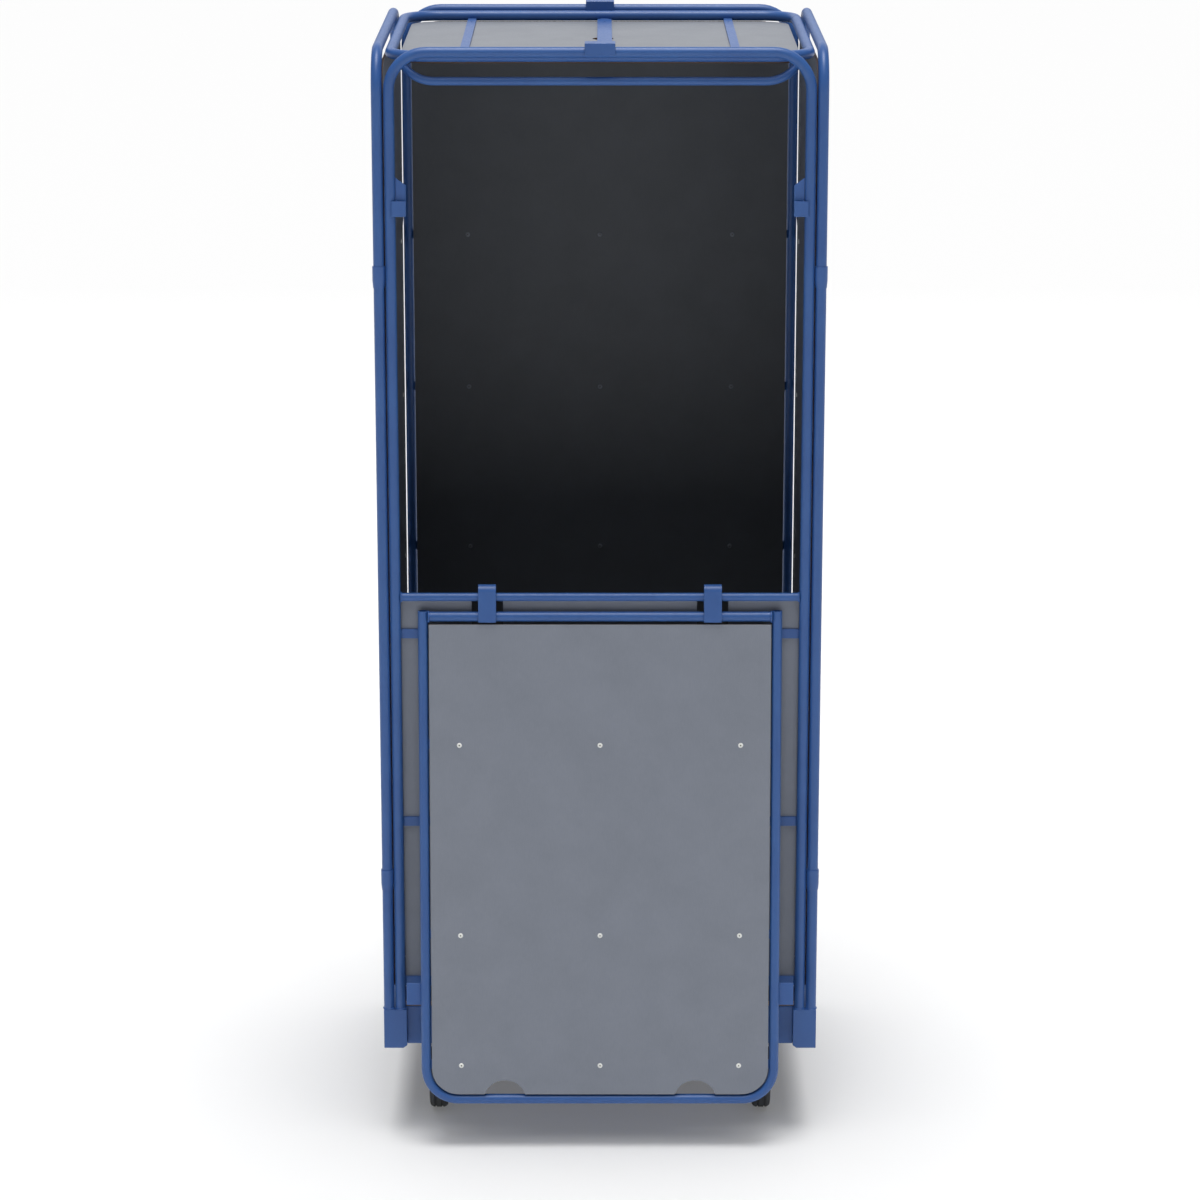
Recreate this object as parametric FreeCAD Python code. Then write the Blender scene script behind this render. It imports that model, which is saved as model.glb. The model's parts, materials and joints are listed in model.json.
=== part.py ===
"""Roofed roll trolley used as a library book drop: steel tube frames, flat infill
panels, a half-height front flap that hooks shut, and four castors.

Units are millimetres. X runs to the viewer's right, Y runs from front to back, Z is up.
Every piece is drawn with the front tube plane at Y = 0 and the floor at Z = 0, and is
moved by -middle_y when it is saved, so that the origin is on the floor under the middle
of the whole object.
"""
import math
import os

import FreeCAD
import Part
from FreeCAD import Vector

os.makedirs("parts", exist_ok=True)

# Frame tubes and overall shape
tube_r = 9.0
tube_wall = 1.5
post_x = 346.0
frame_gap = 2.0
depth = 630.0
top_z = 1884.0
hinge_rise = 23.6
bend_r = 62.0
weld = 0.25
slip = 0.05
rest_gap = 0.3
side_x = post_x + 2 * tube_r + frame_gap
roof_z = top_z - tube_r
hinge_z = top_z / 2 + hinge_rise

# Chassis, whose height follows from the wheels
wheel_r = 62.5
fork_top = 2 * wheel_r + 14.0
block_w = 40.0
block_front = 10.0
block_low = fork_top + 18.0
block_top = block_low + 70.0
block_wall = 3.0
block_cut_x = 6.6
block_cut_z = 5.0
sheet = 3.0
rail_back = 15.0
rail_flange = 30.0
deck_t = 9.0
deck_bolt_r = 3.0
deck_head_r = 6.5
deck_head_h = 3.5
deck_sink = 0.2
block_out = side_x + tube_r
block_in = block_out - block_w
rail_low = block_low + sheet

# Infill panels and the flat bars that carry them
panel_t = 4.0
bar_t = 4.0
bar_h = 16.0
bar_set = 4.0
side_bar_set = 2.0
panel_low = block_top + deck_t + 30.0
panel_top = roof_z - tube_r - 2.0
panel_round = 50.0
wall_bar_low = panel_low + 10.0
wall_bar_high = hinge_z - 65.6
wall_bar_mid = wall_bar_low + 0.465 * (wall_bar_high - wall_bar_low)
lower_levels = (wall_bar_low, wall_bar_mid, wall_bar_high)
upper_rise = top_z - hinge_z
upper_levels = (hinge_z + 0.255 * upper_rise, hinge_z + 0.56 * upper_rise, top_z - 74.0)
rivet_r = 2.0
rivet_head_r = 4.3
rivet_head_h = 1.5
rivet_spread = post_x - 107.0
side_rivet_spread = depth / 2 - 85.0
levels = lower_levels + upper_levels
bar_face = tube_r - math.sqrt(tube_r**2 - bar_set**2) - weld
side_bar_face = tube_r - math.sqrt(tube_r**2 - side_bar_set**2) - weld
panel_in = bar_set + bar_t
side_panel_in = side_bar_set + bar_t

# Hinge bar and the lower front wall
hinge_r = 7.0
wall_top = hinge_z - hinge_r - 1.6
notch_w = 53.0
notch_low = hinge_z - 50.6
strap_x = post_x - 155.3

# Flap, given by distances from the hinge axis along its length
flap_r = 8.5
flap_x = post_x - tube_r - 29.0 - flap_r
flap_end = upper_rise - 28.9
flap_bend = 54.5
flap_lean = 4.6
flap_rail = 33.6
flap_panel_x = flap_x - flap_r - 1.5
flap_panel_near = flap_rail + flap_r + 4.0
flap_panel_far = flap_end - 2 * flap_r - 1.5
flap_levels = (0.285 * flap_end, 0.66 * flap_end, flap_end - 71.3)
hand_x = post_x - 182.0
hand_r = 37.0
hand_h = 25.0

# Hinge straps and the nylon blocks that slide in them
strap_w = 30.0
strap_t = 3.0
strap_rise = 9.8
strap_in = flap_r + 0.1
block_half = strap_in - slip
travel = flap_rail - flap_r - block_half - rest_gap
flap_leg_start = hinge_r + travel + 0.75

# Hook tabs on the flap and the keepers on the posts
tab_near = flap_end - 213.5
tab_len = 38.5
tab_t = 4.0
tab_out = post_x - tube_r - 4.0
tab_back = 3.0
keeper_t = 3.0
keeper_play = 1.2
lip_h = 25.4
lip_in = flap_x + flap_r + 11.5
lip_out = post_x - 3.0
keeper_rise = 38.0
keeper_slope = 13.0
lip_top = hinge_z + tab_near - 1.0

# Collars that tie each side frame to the front and back frames
collar_wall = frame_gap - 0.35
collar_h = 36.0
collar_levels = (block_top + 218.0, top_z - 389.0)

# Roof
roof_front = 20.0
roof_rear = depth - 22.0
roof_panel_x = post_x - tube_r - 4.0
roof_bar_side = post_x - 119.0
roof_bar_side_w = 15.0
roof_bar_mid = 8.0
roof_bar_mid_w = 25.0
roof_hole_x = 5.0
roof_hole_y = depth / 2 + 25.0
roof_hole_r = 18.0
sleeve_margin = 15.0
sleeve_gap = 1.5
tab_w = 50.0
tab_top = top_z + tube_r + 4.0 + sheet
tab_hang = 20.0

# Stop bar behind the end of the closed flap
stop_r = 7.0
stop_z = roof_z - 40.0
stop_half = post_x - 74.0
stop_bend = 60.0
stop_turn = 61.0
stop_tilt = 30.0
stop_tail = 6.0
stop_y = flap_r + rest_gap + stop_r

# Castors
wheel_w = 32.0
rim_r = 48.0
hub_w = 40.0
hub_r = 16.0
axle_r = 6.0
castor_x = post_x - 61.0
castor_y = 82.0
trail = 38.0
plate_x = 85.0
plate_y = 105.0
plate_t = 4.0
bolt_x = 64.0
bolt_y = 66.0
bolt_r = 4.0
fork_t = 3.0
fork_in = hub_w / 2 + 1.0
ring_r = 28.0
pedal_y = 74.0
pedal_z = fork_top - 15.0
pedal_w = 36.0

flap_reach = (flap_end - flap_r) * math.sin(math.radians(flap_lean)) + flap_r
rear_reach = depth + tube_r + rest_gap + sheet
middle_y = (rear_reach - flap_reach) / 2

X_AXIS = Vector(1, 0, 0)
Y_AXIS = Vector(0, 1, 0)
Z_AXIS = Vector(0, 0, 1)


def save(node, pieces):
    """Write one node, moved so that the origin is under the object's middle."""
    shape = pieces[0] if len(pieces) == 1 else Part.makeCompound(pieces)
    shape = shape.copy()
    shape.translate(Vector(0, -middle_y, 0))
    shape.exportStep(os.path.join("parts", node + ".step"))


def box(x0, x1, y0, y1, z0, z1):
    """Box between two opposite corners."""
    return Part.makeBox(x1 - x0, y1 - y0, z1 - z0, Vector(x0, y0, z0))


def rod(radius, start, end):
    """Solid round bar between two points."""
    along = end - start
    return Part.makeCylinder(radius, along.Length, start, along)


def mirrored(shape):
    """The same piece on the other side of the middle plane."""
    return shape.mirror(Vector(0, 0, 0), X_AXIS)


def prism(points, direction):
    """Straight prism over a closed polygon."""
    wire = Part.makePolygon(points + [points[0]])
    return Part.Face(wire).extrude(direction)


def rounded(shape, radius, direction, chosen):
    """Round the edges that run along a direction and pass a test on their middle."""
    edges = []
    for edge in shape.Edges:
        run = edge.Vertexes[-1].Point - edge.Vertexes[0].Point
        if run.cross(direction).Length < 0.001 and chosen(edge.CenterOfMass):
            edges.append(edge)
    return shape.makeFillet(radius, edges)


def section(centre, direction, outer, inner):
    """Round cross-section of a bar, or of a tube when inner is above zero."""
    face = Part.Face(Part.Wire(Part.makeCircle(outer, centre, direction)))
    if inner > 0:
        hole = Part.Face(Part.Wire(Part.makeCircle(inner, centre, direction)))
        face = face.cut(hole)
    return face


def bent_tube(points, outer, inner, radius):
    """Tube along a line of corner points, with every corner bent to one radius."""
    pieces = []
    start = points[0]
    for before, corner, after in zip(points, points[1:], points[2:]):
        arrive = (corner - before).normalize()
        leave = (after - corner).normalize()
        turn = arrive.getAngle(leave)
        back = radius * math.tan(turn / 2)
        bend_start = corner - arrive * back
        bend_end = corner + leave * back
        axis = arrive.cross(leave).normalize()
        centre = bend_start + axis.cross(arrive) * radius
        straight = section(start, arrive, outer, inner).extrude(bend_start - start)
        bend = section(bend_start, arrive, outer, inner)
        bend = bend.revolve(centre, axis, math.degrees(turn))
        pieces += [straight, bend]
        start = bend_end
    last = points[-1] - start
    pieces.append(section(start, last, outer, inner).extrude(last))
    return pieces[0].multiFuse(pieces[1:]).removeSplitter()


def drilled(shape, points, direction, radius, length):
    """The shape with a straight hole at each point."""
    for point in points:
        hole = Part.makeCylinder(radius, length, point - direction * 1.0, direction)
        shape = shape.cut(hole)
    return shape


def rivet(point, direction, grip, tail_h):
    """Blind rivet: head on the panel, shank through panel and bar, tail behind."""
    head = Part.makeCone(rivet_head_r, 2.6, rivet_head_h, point, direction * -1)
    shank = Part.makeCylinder(rivet_r, grip + tail_h, point, direction)
    if tail_h > 0:
        tail = Part.makeCone(3.2, 2.4, tail_h, point + direction * grip, direction)
        shank = shank.fuse(tail)
    return head.fuse(shank).removeSplitter()


def hex_prism(across, height, low):
    """Hexagonal prism standing on a point."""
    reach = across / 2 / math.cos(math.radians(30))
    points = []
    for k in range(6):
        turn = math.radians(60 * k)
        points.append(low + Vector(reach * math.cos(turn), reach * math.sin(turn), 0))
    return prism(points, Vector(0, 0, height))


# ---------------------------------------------------------------- chassis


def corner_block():
    """Pressed box under one corner, open below, inner lower edge cut off at a slant."""
    y0 = -block_front
    profile = [
        Vector(block_in, y0, block_top),
        Vector(block_out, y0, block_top),
        Vector(block_out, y0, block_low),
        Vector(block_in + block_cut_x, y0, block_low),
        Vector(block_in, y0, block_low + block_cut_z),
    ]
    outer = prism(profile, Vector(0, block_w, 0))
    hollow = box(
        block_in + block_wall,
        block_out - block_wall,
        y0 + block_wall,
        y0 + block_w - block_wall,
        block_low - 1,
        block_top - block_wall,
    )
    return outer.cut(hollow)


def to_rear(shape):
    """The same piece at the back, turned to face the other way."""
    return shape.mirror(Vector(0, depth / 2, 0), Y_AXIS)


def end_rail():
    """Channel across the front, set back from the corner blocks, open to the inside."""
    face = rail_back - block_front
    span = block_in
    web = box(-span, span, face, face + sheet, rail_low, block_top)
    top = box(-span, span, face, face + rail_flange, block_top - sheet, block_top)
    low = box(-span, span, face, face + rail_flange, rail_low, rail_low + sheet)
    return web.fuse([top, low]).removeSplitter()


def side_rail():
    """Channel along the right side between two corner blocks, open to the inside."""
    y0 = block_w - block_front
    y1 = depth - y0
    face = block_out - sheet
    web = box(face - sheet, face, y0, y1, rail_low, block_top)
    top = box(face - rail_flange, face, y0, y1, block_top - sheet, block_top)
    low = box(face - rail_flange, face, y0, y1, rail_low, rail_low + sheet)
    rail = web.fuse([top, low]).removeSplitter()
    return drilled(rail, deck_bolt_points(1), Vector(0, 0, -1), deck_bolt_r + 0.1, 20)


def castor_beam():
    """Shallow channel under the chassis, across its width, that carries two castors."""
    y0 = castor_y - plate_y / 2 + 1
    y1 = castor_y + plate_y / 2
    span = block_out - 2 * sheet - 3
    inner = block_out - sheet - rail_flange - 2
    plate = box(-span, span, y0, y1, block_low, rail_low)
    near = box(-inner, inner, y0 + 6, y0 + 6 + sheet, rail_low, rail_low + 20)
    far = box(-inner, inner, y1 - sheet, y1, rail_low, rail_low + 20)
    beam = plate.fuse([near, far]).removeSplitter()
    points = castor_bolt_points(castor_y, rail_low)
    return drilled(beam, points, Vector(0, 0, -1), bolt_r + 0.2, 10)


def deck_bolt_points(side):
    """Where the deck is bolted to one side rail."""
    x = side * (block_out - sheet - rail_flange + 4)
    z = block_top + deck_t
    return [Vector(x, depth * (0.14 + 0.24 * k), z) for k in range(4)]


def deck_panel():
    """Loading floor on the rails and corner blocks."""
    side = side_x - panel_in - panel_t - 1
    y0 = panel_in + panel_t
    deck = box(-side, side, y0, depth - y0, block_top, block_top + deck_t)
    points = deck_bolt_points(1) + deck_bolt_points(-1)
    deck = drilled(deck, points, Vector(0, 0, -1), deck_bolt_r + 0.1, 20)
    for point in points:
        deck = deck.cut(deck_head(point, 0.1))
        deck = deck.cut(rod(deck_head_r + 0.1, point - Z_AXIS * deck_sink, point + Z_AXIS))
    return deck


def deck_head(point, play):
    """Countersunk head of a deck bolt, or its seat when play is above zero."""
    low = point - Z_AXIS * (deck_head_h + deck_sink)
    return Part.makeCone(deck_bolt_r + play, deck_head_r + play, deck_head_h, low, Z_AXIS)


def deck_bolt(point):
    """Countersunk bolt through the deck and the rail flange, with its nut."""
    head = deck_head(point, 0)
    shank_top = point - Z_AXIS * (deck_head_h + deck_sink)
    shank = rod(deck_bolt_r, point - Vector(0, 0, deck_t + sheet + 8), shank_top)
    nut = hex_prism(10, 5, point - Vector(0, 0, deck_t + sheet + 5))
    return head.fuse([shank, nut]).removeSplitter()


# ---------------------------------------------------------------- frames and panels


def portal(x0, y0, x1, y1):
    """Upside-down U of tube standing on the corner blocks."""
    points = [
        Vector(x0, y0, block_top),
        Vector(x0, y0, top_z),
        Vector(x1, y1, top_z),
        Vector(x1, y1, block_top),
    ]
    return bent_tube(points, tube_r, tube_r - tube_wall, bend_r)


def cross_bars(heights):
    """Flat bars from post to post, just behind the front tube plane, with rivet holes."""
    bars = []
    half = post_x - tube_r + bar_face
    for z in heights:
        bar = box(-half, half, bar_set, panel_in, z - bar_h / 2, z + bar_h / 2)
        points = [Vector(x, bar_set, z) for x in (-rivet_spread, 0, rivet_spread)]
        bars.append(drilled(bar, points, Y_AXIS, rivet_r + 0.1, 20))
    return bars


def cross_rivets(heights):
    """Rivets of one cross wall, heads inside."""
    rivets = []
    for z in heights:
        for x in (-rivet_spread, 0, rivet_spread):
            point = Vector(x, panel_in + panel_t, z)
            rivets.append(rivet(point, Y_AXIS * -1, panel_t + bar_t, 2.5))
    return rivets


def drill_cross_panel(panel, heights):
    """A cross panel with its rivet holes."""
    points = []
    for z in heights:
        for x in (-rivet_spread, 0, rivet_spread):
            points.append(Vector(x, panel_in, z))
    return drilled(panel, points, Y_AXIS, rivet_r + 0.1, 20)


def front_panel():
    """Lower front wall, notched at the top where the hinge straps turn."""
    half = post_x - tube_r
    panel = box(-half, half, panel_in, panel_in + panel_t, panel_low, wall_top)
    for x in (-strap_x, strap_x):
        notch = box(x - notch_w / 2, x + notch_w / 2, 0, 30, notch_low, wall_top + 10)
        panel = panel.cut(notch)
    return drill_cross_panel(panel, lower_levels)


def back_panel():
    """Full-height back wall, upper corners rounded clear of the frame's bends."""
    half = post_x - tube_r
    panel = box(-half, half, panel_in, panel_in + panel_t, panel_low, panel_top)
    panel = rounded(panel, panel_round, Y_AXIS, lambda p: p.z > panel_top - 1)
    return to_rear(drill_cross_panel(panel, levels))


def side_bars():
    """Flat bars from front to back inside the right side frame."""
    bars = []
    y0 = tube_r - side_bar_face
    for z in levels:
        bar = box(
            side_x - side_panel_in,
            side_x - side_bar_set,
            y0,
            depth - y0,
            z - bar_h / 2,
            z + bar_h / 2,
        )
        bars.append(drilled(bar, side_points(z), X_AXIS, rivet_r + 0.1, 20))
    return bars


def side_points(z):
    """Rivet centres along one side bar, at the panel's outer face."""
    x = side_x - side_panel_in
    return [Vector(x, depth / 2 + k * side_rivet_spread, z) for k in (-1, 0, 1)]


def side_panel():
    """Full-height right side wall."""
    y0 = tube_r + 2
    x1 = side_x - side_panel_in
    panel = box(x1 - panel_t, x1, y0, depth - y0, panel_low, panel_top)
    panel = rounded(panel, panel_round, X_AXIS, lambda p: p.z > panel_top - 1)
    for z in levels:
        points = [p - Vector(panel_t, 0, 0) for p in side_points(z)]
        panel = drilled(panel, points, X_AXIS, rivet_r + 0.1, 20)
    return panel


def side_rivets():
    """Rivets of the right side wall, heads inside."""
    rivets = []
    for z in levels:
        for point in side_points(z):
            inner = point - Vector(panel_t, 0, 0)
            rivets.append(rivet(inner, X_AXIS, panel_t + bar_t, 2.5))
    return rivets


def hinge_bar():
    """Round bar between the front posts that the flap turns on."""
    half = post_x - tube_r - weld
    return rod(hinge_r, Vector(-half, 0, hinge_z), Vector(half, 0, hinge_z))


def collar(x, y, z):
    """Sheet-metal collar round one side post, narrowed at its lower end."""
    inner = tube_r + 0.1
    outer = inner + collar_wall
    low = Part.makeCone(inner + 0.6, outer, collar_h / 3, Vector(x, y, z))
    high = Part.makeCylinder(outer, collar_h * 2 / 3, Vector(x, y, z + collar_h / 3))
    hole = Part.makeCylinder(inner, collar_h + 2, Vector(x, y, z - 1))
    return low.fuse(high).cut(hole).removeSplitter()


def keeper():
    """Bracket on the right front post: low lip in front, tall stop plate behind."""
    front = -tube_r - 0.1
    back = keeper_play - tab_back
    web_out = post_x - tube_r - rest_gap
    web_in = web_out - keeper_t + 0.5
    low = lip_top - lip_h
    high = lip_top + keeper_rise
    lip = box(lip_in, lip_out, front - keeper_t, front, low, lip_top)
    web = box(web_in, web_out, front - 0.5, back + keeper_t, low, lip_top)
    profile = [
        Vector(lip_in, back, low),
        Vector(web_out, back, low),
        Vector(web_out, back, high),
        Vector(lip_in, back, high - keeper_slope),
    ]
    plate = prism(profile, Vector(0, keeper_t, 0))
    return lip.fuse([web, plate]).removeSplitter()


# ---------------------------------------------------------------- roof


def roof_frame():
    """Bent tube round the roof, open along the right side where a sleeve closes it."""
    y0 = roof_front + bend_r + sleeve_margin
    y1 = roof_rear - bend_r - sleeve_margin
    points = [
        Vector(post_x, y0, roof_z),
        Vector(post_x, roof_front, roof_z),
        Vector(-post_x, roof_front, roof_z),
        Vector(-post_x, roof_rear, roof_z),
        Vector(post_x, roof_rear, roof_z),
        Vector(post_x, y1, roof_z),
    ]
    return bent_tube(points, tube_r, tube_r - tube_wall, bend_r)


def roof_sleeve():
    """Straight tube that closes the roof frame, with a spigot into each open end."""
    y0 = roof_front + bend_r + sleeve_margin
    y1 = roof_rear - bend_r - sleeve_margin
    start = Vector(post_x, y0 + sleeve_gap, roof_z)
    end = Vector(post_x, y1 - sleeve_gap, roof_z)
    reach = Vector(0, sleeve_margin - 1, 0)
    spigot_r = tube_r - tube_wall - 0.1
    body = rod(tube_r, start, end)
    spigot = rod(spigot_r, start - reach, end + reach)
    bore = rod(spigot_r - tube_wall, start - reach * 2, end + reach * 2)
    return body.fuse(spigot).cut(bore).removeSplitter()


def roof_bar(x, width):
    """Flat bar on top of the roof panel, from the front tube to the rear tube."""
    low = roof_z - tube_r
    drop = roof_z - low - bar_t
    clear = math.sqrt(tube_r**2 - drop**2) + weld
    y0 = roof_front + clear
    y1 = roof_rear - clear
    bar = box(x - width / 2, x + width / 2, y0, y1, low, low + bar_t)
    return drilled(bar, roof_points(x, low), Z_AXIS, rivet_r + 0.1, 20)


def roof_points(x, z):
    """Rivet centres along one roof bar."""
    return [Vector(x, y, z) for y in (roof_front + 50, roof_rear - 50)]


def roof_panel():
    """Roof sheet under the bars, with one round hole near the middle."""
    high = roof_z - tube_r
    low = high - panel_t
    y0 = roof_front + 12
    y1 = roof_rear - 12
    panel = box(-roof_panel_x, roof_panel_x, y0, y1, low, high)
    panel = rounded(panel, panel_round, Z_AXIS, lambda p: True)
    hole = Vector(roof_hole_x, roof_hole_y, low)
    panel = drilled(panel, [hole], Z_AXIS, roof_hole_r, 20)
    for x in (-roof_bar_side, roof_bar_mid, roof_bar_side):
        panel = drilled(panel, roof_points(x, low), Z_AXIS, rivet_r + 0.1, 20)
    return panel


def roof_rivets():
    """Roof rivets: heads below, ends flush with the top of the bars."""
    low = roof_z - tube_r - panel_t
    rivets = []
    for x in (-roof_bar_side, roof_bar_mid, roof_bar_side):
        for point in roof_points(x, low):
            rivets.append(rivet(point, Z_AXIS, panel_t + bar_t, 0))
    return rivets


def roof_hook():
    """Bent plate from the roof's front tube over the top of the front frame."""
    front = -tube_r - rest_gap
    foot = roof_z + tube_r + rest_gap
    outer = box(-tab_w / 2, tab_w / 2, front - sheet, roof_front, foot, tab_top)
    inner = box(-tab_w, tab_w, front, roof_front - sheet, foot - 1, tab_top - sheet)
    lip_low = tab_top - tab_hang
    lip = box(-tab_w / 2, tab_w / 2, front - sheet, front, lip_low, tab_top)
    return outer.cut(inner).fuse(lip).removeSplitter()


def roof_hook_rear():
    """The matching bent plate over the back frame's top tube."""
    back = depth + tube_r + rest_gap
    foot = roof_z + tube_r + rest_gap
    half = tab_w / 2
    outer = box(-half, half, roof_rear, back + sheet, foot, tab_top)
    inner = box(-tab_w, tab_w, roof_rear + sheet, back, foot - 1, tab_top - sheet)
    lip = box(-half, half, back, back + sheet, tab_top - tab_hang, tab_top)
    return outer.cut(inner).fuse(lip).removeSplitter()


def stop_bar():
    """Bar behind the closed flap's end, both ends turned up to the roof's corners."""
    tilt = math.radians(stop_tilt)
    turn = math.radians(stop_turn)
    rise = Vector(0, math.sin(tilt), math.cos(tilt))
    middle = Vector(0, stop_y, stop_z)
    corner_x = stop_half + stop_bend * math.tan(turn / 2)
    leg = stop_bend * math.tan(turn / 2) + stop_tail
    out = X_AXIS * (leg * math.cos(turn)) + rise * (leg * math.sin(turn))
    left_out = Vector(-out.x, out.y, out.z)
    points = [
        middle - X_AXIS * corner_x + left_out,
        middle - X_AXIS * corner_x,
        middle + X_AXIS * corner_x,
        middle + X_AXIS * corner_x + out,
    ]
    bar = bent_tube(points, stop_r, 0, stop_bend)
    corners = [
        Vector(-post_x, roof_front + 2 * bend_r, roof_z),
        Vector(-post_x, roof_front, roof_z),
        Vector(post_x, roof_front, roof_z),
        Vector(post_x, roof_front + 2 * bend_r, roof_z),
    ]
    return bar.cut(bent_tube(corners, tube_r + rest_gap, 0, bend_r))


# ---------------------------------------------------------------- flap
# The flap is drawn hanging straight down from an axis through the origin, with the
# face that is inside when shut turned to the front (-Y). hang() gives it its lean.


def hang(shape):
    """Lean the flap outwards and move it to the hinge bar."""
    shape = shape.copy()
    shape.rotate(Vector(0, 0, 0), X_AXIS, -flap_lean)
    shape.translate(Vector(0, 0, hinge_z))
    return shape


def flap_frame():
    """U of tube: two legs and the end rail."""
    far = flap_r - flap_end
    points = [
        Vector(-flap_x, 0, -flap_leg_start),
        Vector(-flap_x, 0, far),
        Vector(flap_x, 0, far),
        Vector(flap_x, 0, -flap_leg_start),
    ]
    return bent_tube(points, flap_r, flap_r - tube_wall, flap_bend)


def flap_top_rail():
    """Straight tube between the legs at the hinge end."""
    half = flap_x - flap_r - weld
    start = Vector(-half, 0, -flap_rail)
    tube = section(start, X_AXIS, flap_r, flap_r - tube_wall)
    return tube.extrude(Vector(2 * half, 0, 0))


def flap_points(level):
    """Rivet centres of one flap bar, on the panel's inner face."""
    y = -bar_t - panel_t
    return [Vector(x, y, -level) for x in (-rivet_spread, 0, rivet_spread)]


def flap_bars():
    """Flat bars between the legs, on the outer side of the panel."""
    bars = []
    half = flap_x - flap_r - weld
    for level in flap_levels:
        z = -level
        bar = box(-half, half, -bar_t, 0, z - bar_h / 2, z + bar_h / 2)
        bars.append(drilled(bar, flap_points(level), Y_AXIS, rivet_r + 0.1, 20))
    return bars


def flap_panel():
    """Flap sheet, far corners rounded, with two hand holes cut in its far edge."""
    back = -bar_t
    half = flap_panel_x
    far = -flap_panel_far
    panel = box(-half, half, back - panel_t, back, far, -flap_panel_near)
    panel = rounded(panel, flap_bend - flap_r, Y_AXIS, lambda p: p.z < far + 1)
    for x in (-hand_x, hand_x):
        centre = Vector(x, back - panel_t, far + hand_h - hand_r)
        panel = drilled(panel, [centre], Y_AXIS, hand_r, 20)
    for level in flap_levels:
        panel = drilled(panel, flap_points(level), Y_AXIS, rivet_r + 0.1, 20)
    return panel


def flap_rivets():
    """Flap rivets, heads on the inner face."""
    rivets = []
    for level in flap_levels:
        for point in flap_points(level):
            rivets.append(rivet(point, Y_AXIS, panel_t + bar_t, 2.5))
    return rivets


def flap_tab():
    """Plate on the right leg that drops behind the keeper's lip when the flap is shut."""
    reach = math.sqrt(flap_r**2 - tab_back**2) + weld
    return box(
        flap_x + reach,
        tab_out,
        tab_back,
        tab_back + tab_t,
        -tab_near - tab_len,
        -tab_near,
    )


def hinge_strap(x):
    """Strip folded over the hinge bar, both ends welded to the flap's top rail."""
    outer = strap_in + strap_t
    low = -flap_rail - flap_r
    left = Vector(x - strap_w / 2, 0, strap_rise)
    loop = Part.makeCylinder(outer, strap_w, left, X_AXIS)
    legs = box(x - strap_w / 2, x + strap_w / 2, -outer, outer, low, strap_rise)
    slot_top = Part.makeCylinder(strap_in, strap_w + 2, left - X_AXIS, X_AXIS)
    slot = box(x - strap_w, x + strap_w, -strap_in, strap_in, low - 1, strap_rise)
    return loop.fuse(legs).cut(slot_top.fuse(slot)).removeSplitter()


def slide_block(x):
    """Nylon block inside a strap: it turns on the hinge bar and the strap slides on it."""
    length = strap_w - 0.6
    left = Vector(x - length / 2, 0, 0)
    rise = strap_rise - weld
    near = Part.makeCylinder(block_half, length, left, X_AXIS)
    far = Part.makeCylinder(block_half, length, left + Vector(0, 0, rise), X_AXIS)
    middle = box(x - length / 2, x + length / 2, -block_half, block_half, 0, rise)
    bore = Part.makeCylinder(hinge_r + slip, length + 2, left - X_AXIS, X_AXIS)
    return near.fuse([far, middle]).removeSplitter().cut(bore)


# ---------------------------------------------------------------- castors
# A castor is drawn with its mounting centre above the origin and its wheel trailing
# to +Y, then moved to its place.


def castor_bolt_points(y, z):
    """The eight castor bolts of one beam."""
    points = []
    for side in (-1, 1):
        for dx in (-bolt_x / 2, bolt_x / 2):
            for dy in (-bolt_y / 2, bolt_y / 2):
                points.append(Vector(side * castor_x + dx, y + dy, z))
    return points


def bolt_corners():
    """Bolt centres of one castor plate at the plate's top."""
    points = []
    for dx in (-bolt_x / 2, bolt_x / 2):
        for dy in (-bolt_y / 2, bolt_y / 2):
            points.append(Vector(dx, dy, block_low))
    return points


def top_plate():
    """Castor plate with rounded corners and four bolt holes."""
    low = block_low - plate_t
    plate = box(-plate_x / 2, plate_x / 2, -plate_y / 2, plate_y / 2, low, block_low)
    plate = rounded(plate, 8, Z_AXIS, lambda p: True)
    return drilled(plate, bolt_corners(), Vector(0, 0, -1), bolt_r + 0.2, 10)


def swivel_plate():
    """Castor plate with the fixed upper race and the riveted king pin."""
    low = block_low - plate_t
    race_low = fork_top + 8 + rest_gap
    race = Part.makeCone(ring_r, ring_r + 3, low - race_low, Vector(0, 0, race_low))
    pin = Part.makeCylinder(axle_r, low - fork_top + 6, Vector(0, 0, fork_top - 6))
    head_top = fork_top - fork_t - rest_gap
    head = Part.makeCone(7, 10, 5, Vector(0, 0, head_top - 5))
    neck = Part.makeCylinder(axle_r, fork_t + 2, Vector(0, 0, head_top - 1))
    return top_plate().fuse([race, pin, head, neck]).removeSplitter()


def fork_leg(x, wheel_y, top, ear):
    """One side of a fork, from the crown down to the axle."""
    axle_z = wheel_r
    profile = [Vector(x, -30, top), Vector(x, -30, top - 12)]
    profile.append(Vector(x, wheel_y - 15, axle_z - 3))
    profile.append(Vector(x, wheel_y - 9, axle_z - 15))
    profile.append(Vector(x, wheel_y + 9, axle_z - 15))
    profile.append(Vector(x, wheel_y + 15, axle_z - 3))
    if ear:
        profile.append(Vector(x, pedal_y + 7, pedal_z - 7))
        profile.append(Vector(x, pedal_y + 7, pedal_z + 6))
        profile.append(Vector(x, 52, top))
    else:
        profile.append(Vector(x, 30, top - 12))
        profile.append(Vector(x, 30, top))
    leg = prism(profile, Vector(fork_t, 0, 0))
    hole = rod(axle_r + 0.1, Vector(x - 1, wheel_y, axle_z), Vector(x + 9, wheel_y, axle_z))
    return leg.cut(hole)


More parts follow.
